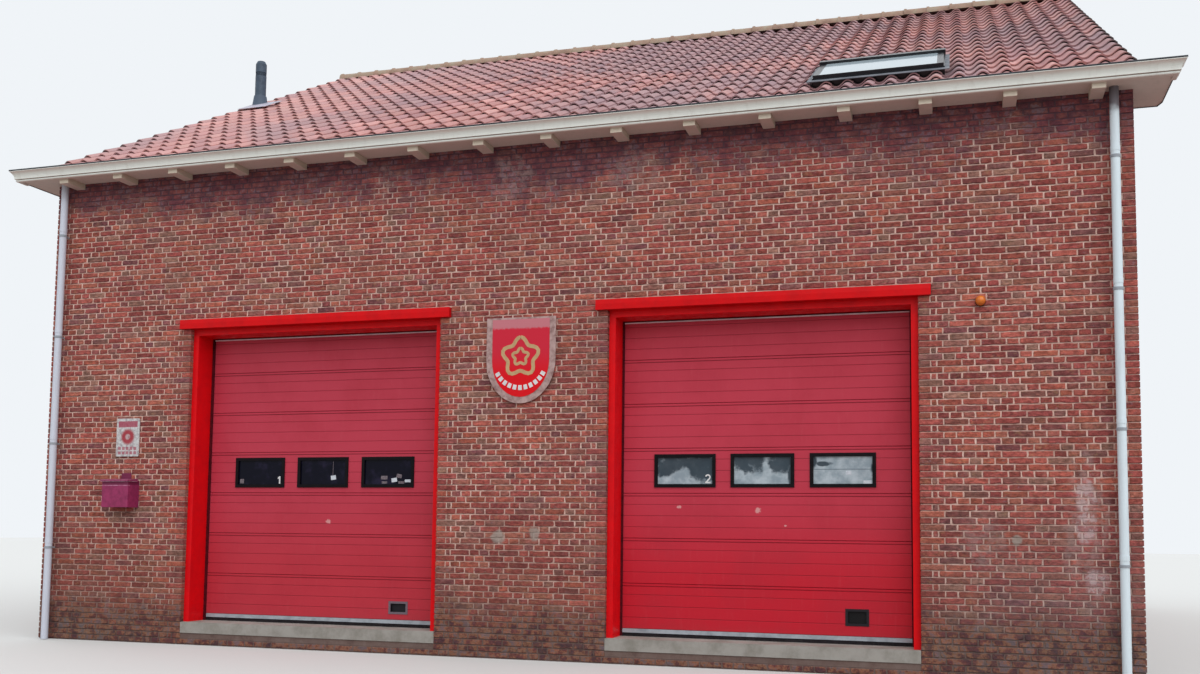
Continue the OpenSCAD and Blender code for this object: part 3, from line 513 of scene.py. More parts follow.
def make_mailbox():
    """Mailbox paint with the lid's painted shadow below it and a painted highlight in spots along the slot flap's
    top.
    """
    s = Shade("mailbox_paint")
    col = s.mix(s.band(s.noise(16.0, 5.0, 0.65), 0.35, 0.75), lin(152, 48, 94), lin(126, 36, 76))
    drop = s.sub(LID_EDGE, s.axis("Z"))
    # painted shadow of the lid on the box
    col = s.over(col, s.band(drop, 0.042, 0.034), 0.65, (92, 20, 54))
    # painted highlight in spots along the top of the slot flap
    flap = s.band(s.gap(drop, 0.045), 0.006, 0.003)
    front = s.band(s.axis("Y"), YF - 0.150, YF - 0.160)
    glint_spots = s.band(s.noise(22.0, 4.0, 0.7), 0.40, 0.60, 0.25, 0.75)
    col = s.over(col, s.mul(flap, front), glint_spots, (204, 150, 178))
    s.bump(s.noise(90.0, 4.0, 0.6), 0.0008, 0.5)
    return s.done(col, 0.42, 0.3)


def make_lid():
    """The mailbox paint, with painted highlights in spots along the lid's front and lower edges."""
    s = Shade("mailbox_lid_paint")
    col = s.mix(s.noise(16.0, 5.0, 0.65), lin(146, 44, 90), lin(122, 36, 76))
    edge = s.band(s.axis("Z"), LID_EDGE + 0.006, LID_EDGE + 0.003)
    crown = s.band(s.gap(s.axis("Z"), LID_EDGE + 0.021), 0.004, 0.002)
    glint_spots = s.band(s.noise(40.0, 5.0, 0.7), 0.36, 0.56)
    # painted highlight on the lid's lower edge and, at half strength, along its crown
    worn = s.mul(s.most(edge, s.mul(crown, 0.5)), glint_spots)
    return s.done(s.over(col, worn, 0.8, (206, 168, 186)), 0.42, 0.3)


def make_grip(name, rim, bowl):
    """Plastic rim with painted shade in the darker bowl behind it."""
    s = Shade(name)
    # the bowl behind the rim: painted shade in the recess
    inner = s.band(s.axis("Y"), YF + LEAF_Y - 0.003, YF + LEAF_Y + 0.001)
    col = s.mix(s.noise(40.0, 4.0), lin(*rim), lin(*(int(c * 0.85) for c in rim)))
    return s.done(s.mix(inner, col, lin(*bowl)), 0.5, 0.25)


MAT = {
    "brick": make_brick(),
    "mortar": make_mortar(),
    "inner": make_inner_brick(),
    "tile": make_tile(),
    "ridge": make_ridge(),
    "cream": make_cream("cornice_paint", (222, 225, 219), (233, 235, 229)),
    "corbel": make_cream("corbel_paint", (202, 190, 172), (214, 202, 184)),
    "door": make_door_red(),
    "pane": make_pane(),
    "skylight": make_skylight(),
    "red": make_paint("red_steel", (212, 8, 16), (194, 10, 18), 0.34, 0.04, spec=0.12),
    # the frames: a brighter copy of the red steel, painted light against the shade in the reveals
    "frame_red_lit": make_paint("frame_red_lit", (226, 13, 22), (210, 14, 24), 0.34, 0.04, spec=0.12),
    "concrete": make_paint("concrete", (160, 156, 150), (132, 128, 120), 0.9, 0.3, 5.0, 160.0, 0.2),
    "deck": make_paint("deck_boards", (158, 130, 98), (128, 104, 78), 0.8, 0.2, 8.0, 60.0, 0.2),
    # underlay seen between the tiles: a dark colour standing in as painted shade in the gaps
    "shaded_felt": make_paint("roof_felt_painted_shade", (66, 34, 32), (52, 28, 28), 0.95, 0.1, 8.0, 60.0, 0.1),
    "zinc": make_paint("zinc", (60, 63, 70), (46, 48, 54), 0.55, 0.16, 7.0, spec=0.35),
    "lead": make_paint("lead_sheet", (112, 116, 124), (84, 88, 96), 0.6, 0.3, 7.0),
    "flashing": make_flashing(),
    "pipe": make_pipe(),
    "clip": make_paint("pipe_clip", (158, 164, 172), (142, 148, 156), 0.6, 0.12, 9.0, spec=0.2),
    "alu": make_paint("aluminium", (164, 170, 178), (132, 138, 146), 0.4, 0.3, 9.0),
    "rubber": make_paint("rubber", (26, 22, 26), (36, 30, 34), 0.75, 0.10, 12.0, 140.0, 0.2),
    "seal": make_paint("side_seal", (84, 12, 24), (56, 8, 18), 0.75, 0.04, 12.0, 140.0, 0.12),
    "topseal": make_paint("top_seal", (232, 220, 226), (196, 182, 190), 0.6, 0.2, 5.0, 140.0, 0.2),
    "black": make_paint("black_plastic", (12, 9, 13), (20, 16, 20), 0.5, 0.03, 14.0, 200.0, 0.12),
    "grip1": make_grip("grip_grey", (118, 104, 114), (26, 24, 30)),
    "grip2": make_grip("grip_black", (34, 30, 36), (10, 9, 12)),
    "clear": make_paint("clear_plastic", (184, 156, 152), (128, 94, 92), 0.45, 0.30, 18.0, 200.0, 0.25),
    "shield": make_shield_field(),
    "gold": make_paint("emblem_gold", (196, 162, 118), (178, 144, 104), 0.45, 0.10, 20.0, 200.0, 0.3),
    "white": make_paint("numeral_white", (222, 220, 220), (204, 202, 204), 0.5, 0.08, 20.0, 200.0, 0.3),
    "paper": make_paint("sticker", (206, 212, 220), (180, 186, 196), 0.6, 0.15, 60.0, 200.0, 0.2),
    "card": make_paint("faded_card", (128, 118, 124), (84, 76, 84), 0.7, 0.2, 60.0, 200.0, 0.1),
    "sign": make_sign(),
    "mail": make_mailbox(),
    "mail_lid": make_lid(),
    "orange": make_paint("orange_lens", (222, 122, 40), (206, 102, 30), 0.25, 0.08, 14.0),
    "flue": make_paint("flue_metal", (62, 80, 98), (48, 64, 80), 0.5, 0.10, 9.0),
    "cladding": make_cladding(),
}
NODE_MATS = {
    "floor_slab": "concrete", "door_thresholds": "concrete", "roof_deck_front": "deck", "roof_deck_rear": "deck",
    "front_cornice": "cream", "rear_cornice": "cream", "front_corbels": "corbel", "rear_corbels": "corbel",
    "front_gutter_lining": "zinc", "rear_gutter_lining": "zinc", "front_downpipes": "pipe",
    "rear_downpipes": "pipe", "downpipe_clips": "clip", "door_1_lintel": "red", "door_2_lintel": "red",
    "door_1_frame": "frame_red_lit", "door_2_frame": "frame_red_lit", "door_1_leaf": "door", "door_2_leaf": "door",
    "door_bottom_rails": "alu", "door_bottom_seals": "rubber", "door_side_seals": "seal",
    "door_window_frames": "black", "door_window_glass": "pane", "door_1_grip": "grip1", "door_2_grip": "grip2",
    "shield_plate": "clear", "shield_field": "shield", "sign_plate": "sign", "mailbox_body": "mail",
    "mailbox_lid": "mail_lid", "lamp_base": "black", "lamp_dome": "orange", "flue_pipe": "flue",
    "flue_flashing": "flashing", "roof_window_frame": "cladding", "roof_window_sash": "cladding",
    "roof_window_glass": "skylight", "roof_window_flashing": "lead",
}
for node, key in NODE_MATS.items():
    obj = NODES[node]
    if not obj.material_slots:
        obj.data.materials.append(MAT[key])
    for slot in obj.material_slots:
        slot.material = MAT[key]

# ---------------------------------------------------------------- mesh helpers


class Build:
    """Collects loose bricks or tiles into one mesh with two random values for each."""

    def __init__(self):
        self.verts, self.faces, self.mats, self.smooth, self.lot, self.shade = [], [], [], [], [], []

    def add(self, verts, faces, lot, shade, smooth=False):
        """Adds faces with the first material."""
        base = len(self.verts)
        self.verts.extend(verts)
        self.faces.extend(tuple(base + i for i in f) for f in faces)
        self.mats.extend([0] * len(faces))
        self.smooth.extend([smooth] * len(faces))
        self.lot.extend([lot] * len(verts))
        self.shade.extend([shade] * len(verts))

    def add_mesh(self, mesh, mat_of):
        """Adds a whole mesh; mat_of gives the material index of a face."""
        self.add([tuple(v.co) for v in mesh.vertices], [tuple(p.vertices) for p in mesh.polygons], 0.5, 0.5)
        self.mats[-len(mesh.polygons):] = [mat_of(p) for p in mesh.polygons]

    def finish(self, name, materials, slot, replaces=(), body=ROOT):
        mesh = bpy.data.meshes.new(name)
        mesh.from_pydata(self.verts, [], self.faces)
        mesh.polygons.foreach_set("material_index", self.mats)
        mesh.polygons.foreach_set("use_smooth", self.smooth)
        for key, values in (("lot", self.lot), ("shade", self.shade)):
            mesh.attributes.new(key, "FLOAT", "POINT").data.foreach_set("value", values)
        mesh.update()
        for m in materials:
            mesh.materials.append(MAT[m])
        piece = add_object(name, mesh)
        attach(piece, body)
        if replaces:
            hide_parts(*replaces)


def cad_copy(node, move):
    """A copy of a CAD node's mesh with some vertices moved."""
    mesh = NODES[node].data.copy()
    for v in mesh.vertices:
        v.co = move(Vector(v.co))
    mesh.update()
    return mesh


def quad(m, a, b):
    """The face after line a and point b, in a grid with m points in a line."""
    return (a * m + b, a * m + b + 1, (a + 1) * m + b + 1, (a + 1) * m + b)


# ---------------------------------------------------------------- brickwork

UP = Vector((0, 0, 1))
MORTAR, INNER = 1, 2  # places in a wall's list of materials
RECESS = 0.009  # mortar behind the bricks' faces
FACE_D = RECESS + 0.001  # depth of a brick that shows only its face
CORNER_D = (0.0995, 0.2105)  # how far corner bricks reach round, even and odd courses
JAMB_D, EDGE_D = 0.075, 0.0032  # depth of a brick at an opening, and of its worn edges
CLEAR, JAMB_BACK, JAMB_END = 0.003, 0.008, 0.0015
FIRST_COURSE = -4  # counted from the thresholds
STRETCHERS = 0.46  # chance of a stretcher
HEAD_LINE = DOOR_H - 0.03  # courses above it meet the lintel
OUT, WEAR_U, WEAR_Z, UNEVEN = 0.0018, 0.0035, 0.0028, 0.0012
# worn bricks: how far the face stands out, its tilt and grain, the outline's wander, wear of the arrises
PROUD, TILT, ROUGH, WANDER = (0.0004, 0.0030), 0.0012, 0.0005, 0.0026
WEAR, WEAR_MORE, CORNER_WEAR, CHIP, CHIP_CHANCE = 0.0024, 0.0036, 0.0030, 0.007, 0.10
LONG_BRICK = 0.15  # longer ones get more points in their outline
UNDER_DECK, GABLE_GAP = 0.003, 0.004  # bricks stop this far below the deck
LEAST_CUT, LEAST_END, FLAT_CUT = 0.008, 0.004, 0.02
INWARD = ((1, 1), (-1, 1), (-1, -1), (1, -1))
CAD_TOL = 1.5e-3


def fill_course(rng, a, b, odd, left_gap, right_gap):
    """Splits a stretch of one course into bricks: list of (start, end) with the joints taken out."""
    lead = [MODULE, MODULE / 2] if odd else [2 * MODULE]
    fixed = 2 * sum(lead)
    left = max(1, round((b - a - fixed) / MODULE))
    step = (b - a - fixed) / left
    sizes = []
    run, last = 0, 0
    while left > 0:
        size = 1 if left == 1 else (2 if rng.random() < STRETCHERS else 1)
        run = run + 1 if size == last else 1
        if run > 3 and left > 1:
            size, run = 3 - size, 1
        sizes.append(size * step)
        last = size
        left -= size
    edges = [a]
    for size in lead + sizes + lead[::-1]:
        edges.append(edges[-1] + size)
    half, end = HEAD_JOINT / 2, len(edges) - 2
    return [(edges[i] + (half if i else left_gap), edges[i + 1] - (half if i < end else right_gap))
            for i in range(end + 1)]


def spans_at(z):
    """Stretches of a front course, z above the thresholds, that the doors leave free."""
    if z > DOOR_H + LINTEL_H - 0.004 or z + COURSE < -0.12:
        return [(0.0, WALL_L)]
    more = BEARING if z > HEAD_LINE else 0.0
    edges = [0.0] + [e for x, w in DOORS for e in (x - more, x + w + more)] + [WALL_L]
    return list(zip(edges[::2], edges[1::2]))


def core_point(v):
    """Sets a wall's outer faces back behind the bricks and clears the door openings a little."""
    x, y, z = v
    if abs(abs(x) - WALL_L / 2) < 1e-4:
        x -= math.copysign(RECESS, x)
    if abs(abs(y) - WALL_D / 2) < 1e-4:
        y -= math.copysign(RECESS, y)
    for a, w in DOORS:
        for grow, back in ((0.0, JAMB_BACK), (BEARING, CLEAR)):
            if abs(v.x - (X0 + a - grow)) < CAD_TOL:
                x = v.x - back
            if abs(v.x - (X0 + a + w + grow)) < CAD_TOL:
                x = v.x + back
    if abs(z - (ZT + DOOR_H + LINTEL_H)) < CAD_TOL:
        z += CLEAR
    elif abs(z - (ZT + DOOR_H)) < CAD_TOL:
        z -= CLEAR
    return Vector((x, y, z))


class Wall(Build):
    """Brickwork over a wall's core, in places (u along the face, z up, d inwards)."""

    def __init__(self, node, normal, seed):
        super().__init__()
        self.node = node
        self.rng = random.Random(seed)
        self.normal = Vector(normal)
        self.along = UP.cross(self.normal)
        corner = self.normal - self.along
        self.origin = Vector((corner.x * WALL_L / 2, corner.y * WALL_D / 2, 0))
        self.add_mesh(cad_copy(node, core_point), lambda p: INNER if p.normal.dot(self.normal) < -0.7 else MORTAR)

    def courses(self):
        """Parity, bottom and top of one course after another."""
        k = FIRST_COURSE
        while True:
            z0 = ZT + k * COURSE + BED_JOINT / 2
            yield k % 2 == 1, z0, z0 + COURSE - BED_JOINT
            k += 1

    def spread(self, size):
        return (self.rng.random() - 0.5) * 2 * size

    def lay(self, rings, lot, shade):
        """One brick from rings of places, the back ring first and the face last."""
        n, last = len(rings[0]), len(rings) - 1
        faces = [tuple(range(n * last, n * last + n))]
        for low in range(n * (last - 1), -1, -n):
            faces += [(low + k, low + (k + 1) % n, low + n + (k + 1) % n, low + n + k) for k in range(n)]
        verts = [tuple(self.origin + self.along * u - self.normal * d + Vector((0, 0, z)))
                 for ring in rings for u, z, d in ring]
        self.add(verts, faces, lot, shade)

    def worn_brick(self, u0, u1, z0, z1):
        """A face brick with an uneven outline, worn arrises, the odd chip and a slight tilt."""
        rng = self.rng
        lot, shade = rng.random(), rng.random()
        n = 6 if u1 - u0 > LONG_BRICK else 3
        um, zm, hu, hz = (u0 + u1) / 2, (z0 + z1) / 2, (u1 - u0) / 2, (z1 - z0) / 2
        outline = [(-1 + 2 * i / n, -1) for i in range(n)] + [(1, -1), (1, 0)]
        outline += [(1 - 2 * i / n, 1) for i in range(n)] + [(-1, 1), (-1, 0)]
        tilt_u, tilt_z, out = rng.uniform(-TILT, TILT), rng.uniform(-TILT, TILT), rng.uniform(*PROUD)
        back, face = [], []
        for a, b in outline:
            wu, wz = rng.uniform(-WANDER, WANDER), rng.uniform(-WANDER, WANDER)
            inset = WEAR + rng.random() * WEAR_MORE + (CHIP if rng.random() < CHIP_CHANCE else 0.0)
            if abs(a) == 1 and abs(b) == 1:
                inset += CORNER_WEAR
            back.append((um + a * hu + wu, zm + b * hz + wz, FACE_D))
            face.append((um + a * (hu - inset) + wu, zm + b * (hz - inset * 0.8) + wz,
                         max(0.0, out + a * tilt_u + b * tilt_z + rng.uniform(-ROUGH, ROUGH))))
        self.lay([back, face], lot, shade)

    def brick(self, u0, u1, z0, z1, depth):
        """One brick: a slightly uneven face with worn edges; deep ones show their ends."""
        lot, shade = self.rng.random(), self.rng.random()
        out = max(0.0, self.spread(OUT))
        corners = ((u0, z0), (u1, z0), (u1, z1), (u0, z1))
        face = [(u + su * (WEAR_U + self.spread(UNEVEN)), z + sz * (WEAR_Z + self.spread(UNEVEN)), out)
                for (u, z), (su, sz) in zip(corners, INWARD)]
        depths = (depth, EDGE_D) if depth > FACE_D else (depth,)
        self.lay([[(u, z, d) for u, z in corners] for d in depths] + [face], lot, shade)

    def cut_brick(self, u0, u1, z0, za, zb):
        """A gable brick under the roof slope, za and zb high at its ends."""
        lot, shade = self.rng.random(), self.rng.random()
        out = max(0.0, self.spread(OUT))
        flat = min(za, zb) - z0 < FLAT_CUT
        corners = ((u0, z0), (u1, z0), (u1, zb), (u0, za))
        face = []
        for (u, z), (su, sz) in zip(corners, INWARD):
            dz = 0.0 if flat else WEAR_Z + self.spread(UNEVEN)
            face.append((u + su * (WEAR_U + self.spread(UNEVEN)), z + sz * dz, out))
        self.lay([[(u, z, FACE_D) for u, z in corners], face], lot, shade)

    def close(self, name):
        self.finish(name, ["brick", "mortar", "inner"], slot="brick", replaces=(self.node,))


def wall_long(name, node, rear, seed):
    """Front or rear elevation, which also owns the corner bricks of the sides."""
    wall = Wall(node, (0, 1 if rear else -1, 0), seed)
    top = crest(0.0, TILES + DECK) - UNDER_DECK
    for odd, z0, z1 in wall.courses():
        if z1 > top:
            break
        for a, b in [(0.0, WALL_L)] if rear else spans_at(z0 - ZT):
            jamb = JAMB_END if z0 - ZT < HEAD_LINE else HEAD_JOINT / 2
            corners = (a < 1e-6, b > WALL_L - 1e-6)
            row = fill_course(wall.rng, a, b, odd, *(0.0 if corner else jamb for corner in corners))
            for i, (s, e) in enumerate(row):
                first, last = i == 0, i == len(row) - 1
                if (first and corners[0]) or (last and corners[1]):
                    wall.brick(s, e, z0, z1, CORNER_D[odd])
                elif first or last:
                    wall.brick(s, e, z0, z1, JAMB_D)
                elif rear:
                    wall.brick(s, e, z0, z1, FACE_D)
                else:
                    wall.worn_brick(s, e, z0, z1)
    wall.close(name)


def wall_gable(name, node, right, seed):
    """Side elevation, with its bricks cut along both roof slopes."""
    wall = Wall(node, (1 if right else -1, 0, 0), seed)

    def limit(u):
        return crest(min(u, WALL_D - u), TILES + DECK) - GABLE_GAP

    for odd, z0, z1 in wall.courses():
        if z0 > limit(WALL_D / 2):
            break
        skip = CORNER_D[odd] + HEAD_JOINT
        for s, e in fill_course(wall.rng, skip, WALL_D - skip, not odd, 0.0, 0.0):
            if max(limit(s), limit(e)) >= z0 + LEAST_CUT:
                wall.cut_brick(s, e, z0, *(min(z1, max(z0 + LEAST_END, limit(u))) for u in (s, e)))
    wall.close(name)


wall_long("brickwork_front", "front_wall", False, 11)
wall_long("brickwork_rear", "rear_wall", True, 12)
wall_gable("brickwork_left", "left_gable_wall", False, 13)
wall_gable("brickwork_right", "right_gable_wall", True, 14)

# ---------------------------------------------------------------- pantiles

TILE_W, GAUGE, TILE_L, TILE_T = 0.21407, 0.3556, 0.415, 0.014
FIRST_CREST, LAST_TILE = 0.003, 54
WAVE, NEST, LIFT, CROSS = 0.056, 0.19, 0.022, 0.012
U_LEFT, U_FREE, U_VERGE = 0.24, 1.28, 0.708
EAVE, UNDERLAY, FLAP = -0.210, 0.094, 0.0925
SLIP_X, SLIP_S, SETTLE, SKEW = 0.002, 0.004, 0.002, 0.003
TAIL_EDGE = ((0.0, 0.0), (0.004, TILE_T), (0.20, TILE_T))
EDGE_TONE = 0.8  # edges are darker than the face
WIN_X, WIN_Y, WIN_W, WIN_L = 9.500, 0.930, 1.300, 0.980
FLUE_X, FLUE_Y, FLUE_R, FLUE_GAP = 0.262, 3.680, 0.080, 0.012
WIN_S, FLUE_S = WIN_Y / COS, FLUE_Y / COS


def tile_height(u, t):
    """Height under the crest plane: u crosses the tile from roll to roll, t runs from tail to head."""
    roll = (0.5 + 0.5 * math.cos(2 * math.pi * u)) ** 1.1
    return (1 - NEST * t) * WAVE * roll - WAVE - LIFT * t - CROSS * (U_FREE - u)


def slope_point(x, s, h, rear):
    """x from the left corner, s up the slope from the wall face, h out of the crest plane."""
    y = YF + s * COS - h * SIN
    return (X0 + x, -y if rear else y, CREST0 + s * SIN + h * COS)


def in_hole(x, s, rear):
    """Whether a place on the front slope lies under the roof window or the flue."""
    if rear:
        return False
    if abs(x - WIN_X) < WIN_W / 2 and abs(s - WIN_S) < WIN_L / 2:
        return True
    return (x - FLUE_X) ** 2 + (s - FLUE_S) ** 2 < (FLUE_R + FLUE_GAP) ** 2


def steps(low, high, count, cuts):
    """Even steps from low to high with extra ones where a cut falls inside."""
    values = [low + (high - low) * i / count for i in range(count + 1)]
    return sorted(values + [c for c in cuts if low + 1e-4 < c < high - 1e-4])


def pantile(build, rng, row, col, rear, top):
    """One tile: its face, its tail and its free edges, cut out around the roof window and the flue."""
    lot, shade = rng.random(), rng.random()
    x_roll = FIRST_CREST + col * TILE_W + rng.uniform(-SLIP_X, SLIP_X)
    tail = EAVE / COS + row * GAUGE + rng.uniform(-SLIP_S, SLIP_S)
    lift, skew = rng.uniform(-SETTLE, 0.0), rng.uniform(-SKEW, SKEW)
    head = min(tail + TILE_L, top - 0.004)
    first = col < 0
    cuts_u, cuts_t = [], []
    if not rear:
        cuts_u = [(WIN_X + k * WIN_W / 2 - x_roll) / TILE_W for k in (-1, 1)]
        cuts_t = [(WIN_S + k * WIN_L / 2 - tail) / TILE_L for k in (-1, 1)]
    us = steps(U_VERGE if first else U_LEFT, U_FREE, 6 if first else 12, cuts_u)
    ts = steps(0.0, (head - tail) / TILE_L, 3, cuts_t)
    m = len(us)

    def at(u, t, drop=0.0):
        h = min(tile_height(u, t) + lift, -0.0005) - drop
        return slope_point(x_roll + u * TILE_W + (0.0 if first else skew * t), tail + TILE_L * t, h, rear)

    def free(u, t):
        return not in_hole(x_roll + u * TILE_W, tail + TILE_L * t, rear)

    def skin(lines, quads, tone, smooth=False):
        if quads:
            build.add([p for line in lines for p in line], [q[::-1] if rear else q for q in quads], lot, tone, smooth)

    face = [quad(m, a, b) for a in range(len(ts) - 1) for b in range(m - 1)
            if free((us[b] + us[b + 1]) / 2, (ts[a] + ts[a + 1]) / 2)]
    skin([[at(u, t) for u in us] for t in ts], face, shade, True)
    open_tail = [b for b in range(m - 1) if free((us[b] + us[b + 1]) / 2, 0.002)]
    skin([[at(u, t, drop) for u in us] for t, drop in TAIL_EDGE],
         [quad(m, a, b)[::-1] for a in (0, 1) for b in open_tail], shade * EDGE_TONE)
    for u, flip in ((U_FREE, False), (us[0], True))[:2 if first else 1]:
        verge = flip or col == LAST_TILE
        lines = [[at(u, t), at(u, t, FLAP + min(tile_height(u, t), 0.0) if verge else TILE_T)] for t in ts]
        edge = [quad(2, a, 0) for a in range(len(ts) - 1) if free(u, (ts[a] + ts[a + 1]) / 2)]
        skin(lines, [q[::-1] for q in edge] if flip else edge, shade * EDGE_TONE)


def tile_field(name, node, rear, seed):
    """All tiles of one slope over the underlay, which is the CAD slab's lower part, coloured dark as painted shade in
    the gaps.
    """
    rng = random.Random(seed)
    build = Build()
    normal = Vector((0, SIN if rear else -SIN, COS))
    plane_pt = Vector(slope_point(0, 0, 0, rear))
    lower = cad_copy(node, lambda v: v - normal * UNDERLAY if abs((v - plane_pt).dot(normal)) < 1e-3 else v)
    build.add_mesh(lower, lambda p: 1)
    top = (WALL_D / 2) / COS
    for row in range(math.ceil((top - EAVE / COS) / GAUGE)):
        for col in range(-1, LAST_TILE + 1):
            pantile(build, rng, row, col, rear, top)
    build.finish(name, ["tile", "shaded_felt"], slot="roof_tile", replaces=(node,))


tile_field("pantiles_front", "tile_field_front", False, 21)
tile_field("pantiles_rear", "tile_field_rear", True, 22)

RIDGE_L, RIDGE_COUNT, RIDGE_R, RIDGE_SIDES = 0.3305, 36, 0.120, 14
RIDGE_RISE, RIDGE_OVER = 0.050, 0.060  # crown over the crest planes, overhang past the gable
COLLAR = ((0.0, -0.002), (0.035, -0.002), (0.045, -0.014))


def ridge():
    """Half-round ridge tiles, each with a raised collar where it laps the next."""
    rng = random.Random(31)
    build = Build()
    centre = crest(WALL_D / 2) + RIDGE_RISE - RIDGE_R
    m = RIDGE_SIDES + 1
    angles = [math.pi * (-0.02 + 1.04 * a / RIDGE_SIDES) for a in range(m)]
    for i in range(RIDGE_COUNT):
        lot, shade = rng.random(), rng.random()
        x = X0 - RIDGE_OVER + i * RIDGE_L
        axis_z = centre + (rng.random() - 0.5) * 0.006 - 0.006

        def arch(px, thinner):
            r = RIDGE_R + thinner
            return [(x + px, -math.cos(t) * r, axis_z + math.sin(t) * r) for t in angles]

        lap = 0.0 if i == RIDGE_COUNT - 1 else 0.02
        profile = COLLAR + ((RIDGE_L + lap, -0.018),)
        faces = [quad(m, a, b)[::-1] for a in range(len(profile) - 1) for b in range(RIDGE_SIDES)]
        build.add([p for place in profile for p in arch(*place)], faces, lot, shade, True)
        rim = [p for pair in zip(arch(0.0, -0.002), arch(0.0, -0.022)) for p in pair]
        build.add(rim, [quad(2, b, 0) for b in range(RIDGE_SIDES)], lot, shade * 0.7)
    build.finish("ridge_caps", ["ridge"], slot="ridge_tile", replaces=("ridge_tiles",))


ridge()

# ---------------------------------------------------------------- small pieces

def slab(build, outline, y_front, y_back):
    """A thin plate facing the front: outline as (x, z) from the left corner and the threshold, anticlockwise."""
    n = len(outline)
    verts = [(X0 + x, YF + y, ZT + z) for y in (y_front, y_back) for x, z in outline]
    build.add(verts, [tuple(range(n))] + [(i, i + n, (i + 1) % n + n, (i + 1) % n) for i in range(n)], 0.5, 0.5)


def stroke(build, path, width, y_front, y_back):
    """A flat bar of even width along a path of (x, z) points."""
    left, right = [], []
    for i, (x, z) in enumerate(path):
        ax, az = path[max(0, i - 1)]
        bx, bz = path[min(len(path) - 1, i + 1)]
        length = math.hypot(bx - ax, bz - az)
        nx, nz = -(bz - az) / length * width / 2, (bx - ax) / length * width / 2
        left.append((x + nx, z + nz))
        right.append((x - nx, z - nz))
    for i in range(len(path) - 1):
        slab(build, [left[i], right[i], right[i + 1], left[i + 1]], y_front, y_back)


def arc(cx, cz, r, a0, a1, n):
    """Points on a circle from a0 to a1 degrees."""
    angles = [math.radians(a0 + (a1 - a0) * i / n) for i in range(n + 1)]
    return [(cx + r * math.cos(a), cz + r * math.sin(a)) for a in angles]


def label(build, x, z, width, height, tilt):
    """A small card on the glass, turned by tilt degrees."""
    c, s = math.cos(math.radians(tilt)), math.sin(math.radians(tilt))
    corners = [(su * width / 2, sv * height / 2) for su, sv in ((-1, -1), (1, -1), (1, 1), (-1, 1))]
    slab(build, [(x + u * c - v * s, z + u * s + v * c) for u, v in corners], *PRINT)


def rosette(cx, cz, petals, outer, inner):
    """A closed outline that swings between two radii, once for each petal."""
    mid, swing = (outer + inner) / 2, (outer - inner) / 2
    count = petals * 8
    ring = [(i / count * 2 * math.pi, mid + swing * math.cos(2 * math.pi * i / 8)) for i in range(count + 1)]
    return [(cx + r * math.sin(a), cz + r * math.cos(a)) for a, r in ring]


SEAL_Z, SEAL_Y = (3.1995, 3.2110), (0.3225, 0.3340)
seals = Build()
for x, w in DOORS:
    left, right = x + FRAME_W + 0.010, x + w - FRAME_W - 0.006
    low, high = SEAL_Z
    slab(seals, [(left, low), (right, low), (right, high), (left, high)], *SEAL_Y)
seals.finish("top_seals", ["topseal"], slot="grey_plastic")

GLASS_Y = LEAF_Y + 0.008
PRINT = (GLASS_Y - 0.0015, GLASS_Y - 0.0002)
PRINT_OVER = (GLASS_Y - 0.0020, GLASS_Y - 0.0002)
numerals = Build()
stroke(numerals, [(2.890, 1.610), (2.912, 1.630), (2.9125, 1.630)], 0.014, *PRINT)
stroke(numerals, [(2.913, 1.634), (2.913, 1.550)], 0.018, *PRINT_OVER)
stroke(numerals, arc(7.822, 1.612, 0.022, 165, -40, 8) + [(7.802, 1.558)], 0.014, *PRINT)
stroke(numerals, [(7.795, 1.558), (7.851, 1.558)], 0.014, *PRINT_OVER)
numerals.finish("window_numerals", ["white"], slot="grey_plastic")

# labels and cards on the panes: x, z, width, height, tilt
labels = Build()
for place in ((3.593, 1.618, 0.062, 0.048, 8), (4.340, 1.590, 0.066, 0.044, 10), (4.505, 1.580, 0.078, 0.030, 0),
              (9.392, 1.560, 0.080, 0.032, 0), (9.212, 1.650, 0.052, 0.036, 0)):
    label(labels, *place)
labels.finish("window_labels", ["paper"], slot="grey_plastic")
cards = Build()
for place in ((4.218, 1.616, 0.078, 0.040, 0), (4.222, 1.563, 0.066, 0.026, 3), (4.398, 1.634, 0.062, 0.040, -12),
              (4.425, 1.563, 0.070, 0.026, 0), (2.424, 1.580, 0.050, 0.050, 0)):
    label(cards, *place)
stroke(cards, [(3.588, 1.800), (3.585, 1.650)], 0.004, *PRINT)
cards.finish("window_cards", ["card"], slot="grey_plastic")

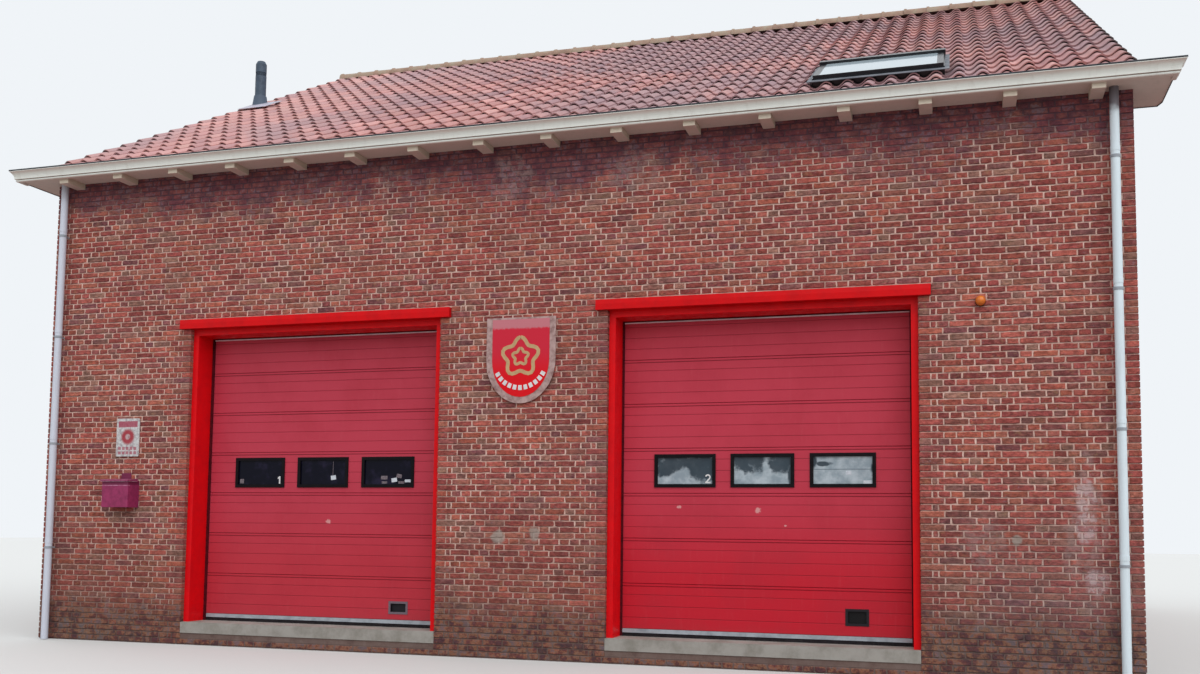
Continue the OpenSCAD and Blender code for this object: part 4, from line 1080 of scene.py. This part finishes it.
SHIELD_X = (DOORS[0][0] + DOORS[0][1] + DOORS[1][0]) / 2
SHIELD_Y = -0.022 - 0.008 - 0.004  # before the plate, its spacers and the field
ON_SHIELD = (SHIELD_Y - 0.002, SHIELD_Y)
badge = Build()
stroke(badge, rosette(SHIELD_X, 2.840, 5, 0.205, 0.145), 0.040, *ON_SHIELD)
stroke(badge, rosette(SHIELD_X, 2.840, 5, 0.090, 0.060), 0.030, *ON_SHIELD)
badge.finish("shield_rosette", ["gold"], slot="grey_plastic")
blocks = Build()
for start in range(206, 330, 12):
    stroke(blocks, arc(SHIELD_X, 2.805, 0.285, start, start + 8, 3), 0.050, *ON_SHIELD)
blocks.finish("shield_blocks", ["white"], slot="grey_plastic")

# ---------------------------------------------------------------- setting

FLOOR_HALF = 90
floor_mesh = bpy.data.meshes.new("studio_floor")
floor_mesh.from_pydata([(sx * FLOOR_HALF, sy * FLOOR_HALF, 0) for sx, sy in ((-1, -1), (1, -1), (1, 1), (-1, 1))],
                       [], [(0, 1, 2, 3)])
floor = add_object("studio_floor", floor_mesh)
ground = Shade("studio_floor")
seen_by_camera = ground.node("ShaderNodeLightPath").outputs["Is Camera Ray"]
floor_mesh.materials.append(ground.done(ground.mix(seen_by_camera, lin(150, 142, 136), lin(214, 214, 212)), 0.9, 0.1))

SCENE.world = bpy.data.worlds.new("studio")
sky = Nodes(SCENE.world)


def glow(color, strength):
    return sky.feed(sky.node("ShaderNodeBackground"), color, strength)[0]


rays = sky.node("ShaderNodeLightPath").outputs
seen = sky.most(sky.most(rays["Is Camera Ray"], rays["Is Glossy Ray"]), rays["Is Transmission Ray"])
height = sky.part(sky.node("ShaderNodeTexCoord").outputs["Generated"], "Z")
overhead = sky.band(height, 0.0, 1.0, 0.74, 1.20, "LINEAR")
dome, backdrop = glow((0.94, 0.97, 1.0, 1.0), overhead), glow(lin(240, 244, 248), 1.0)
blend = sky.feed(sky.node("ShaderNodeMixShader"), seen, dome, backdrop)[0]
sky.feed(sky.node("ShaderNodeOutputWorld"), blend)

SUN_ENERGY, SUN_SPREAD, SUN_TURN = 1.30, 60, (50, 0, 35)
sun_data = bpy.data.lights.new("soft_key", "SUN")
sun_data.energy = SUN_ENERGY
sun_data.angle = math.radians(SUN_SPREAD)
sun = add_object("soft_key", sun_data)
sun.rotation_euler = [math.radians(a) for a in SUN_TURN]

bpy.context.scene.view_settings.view_transform = "Standard"
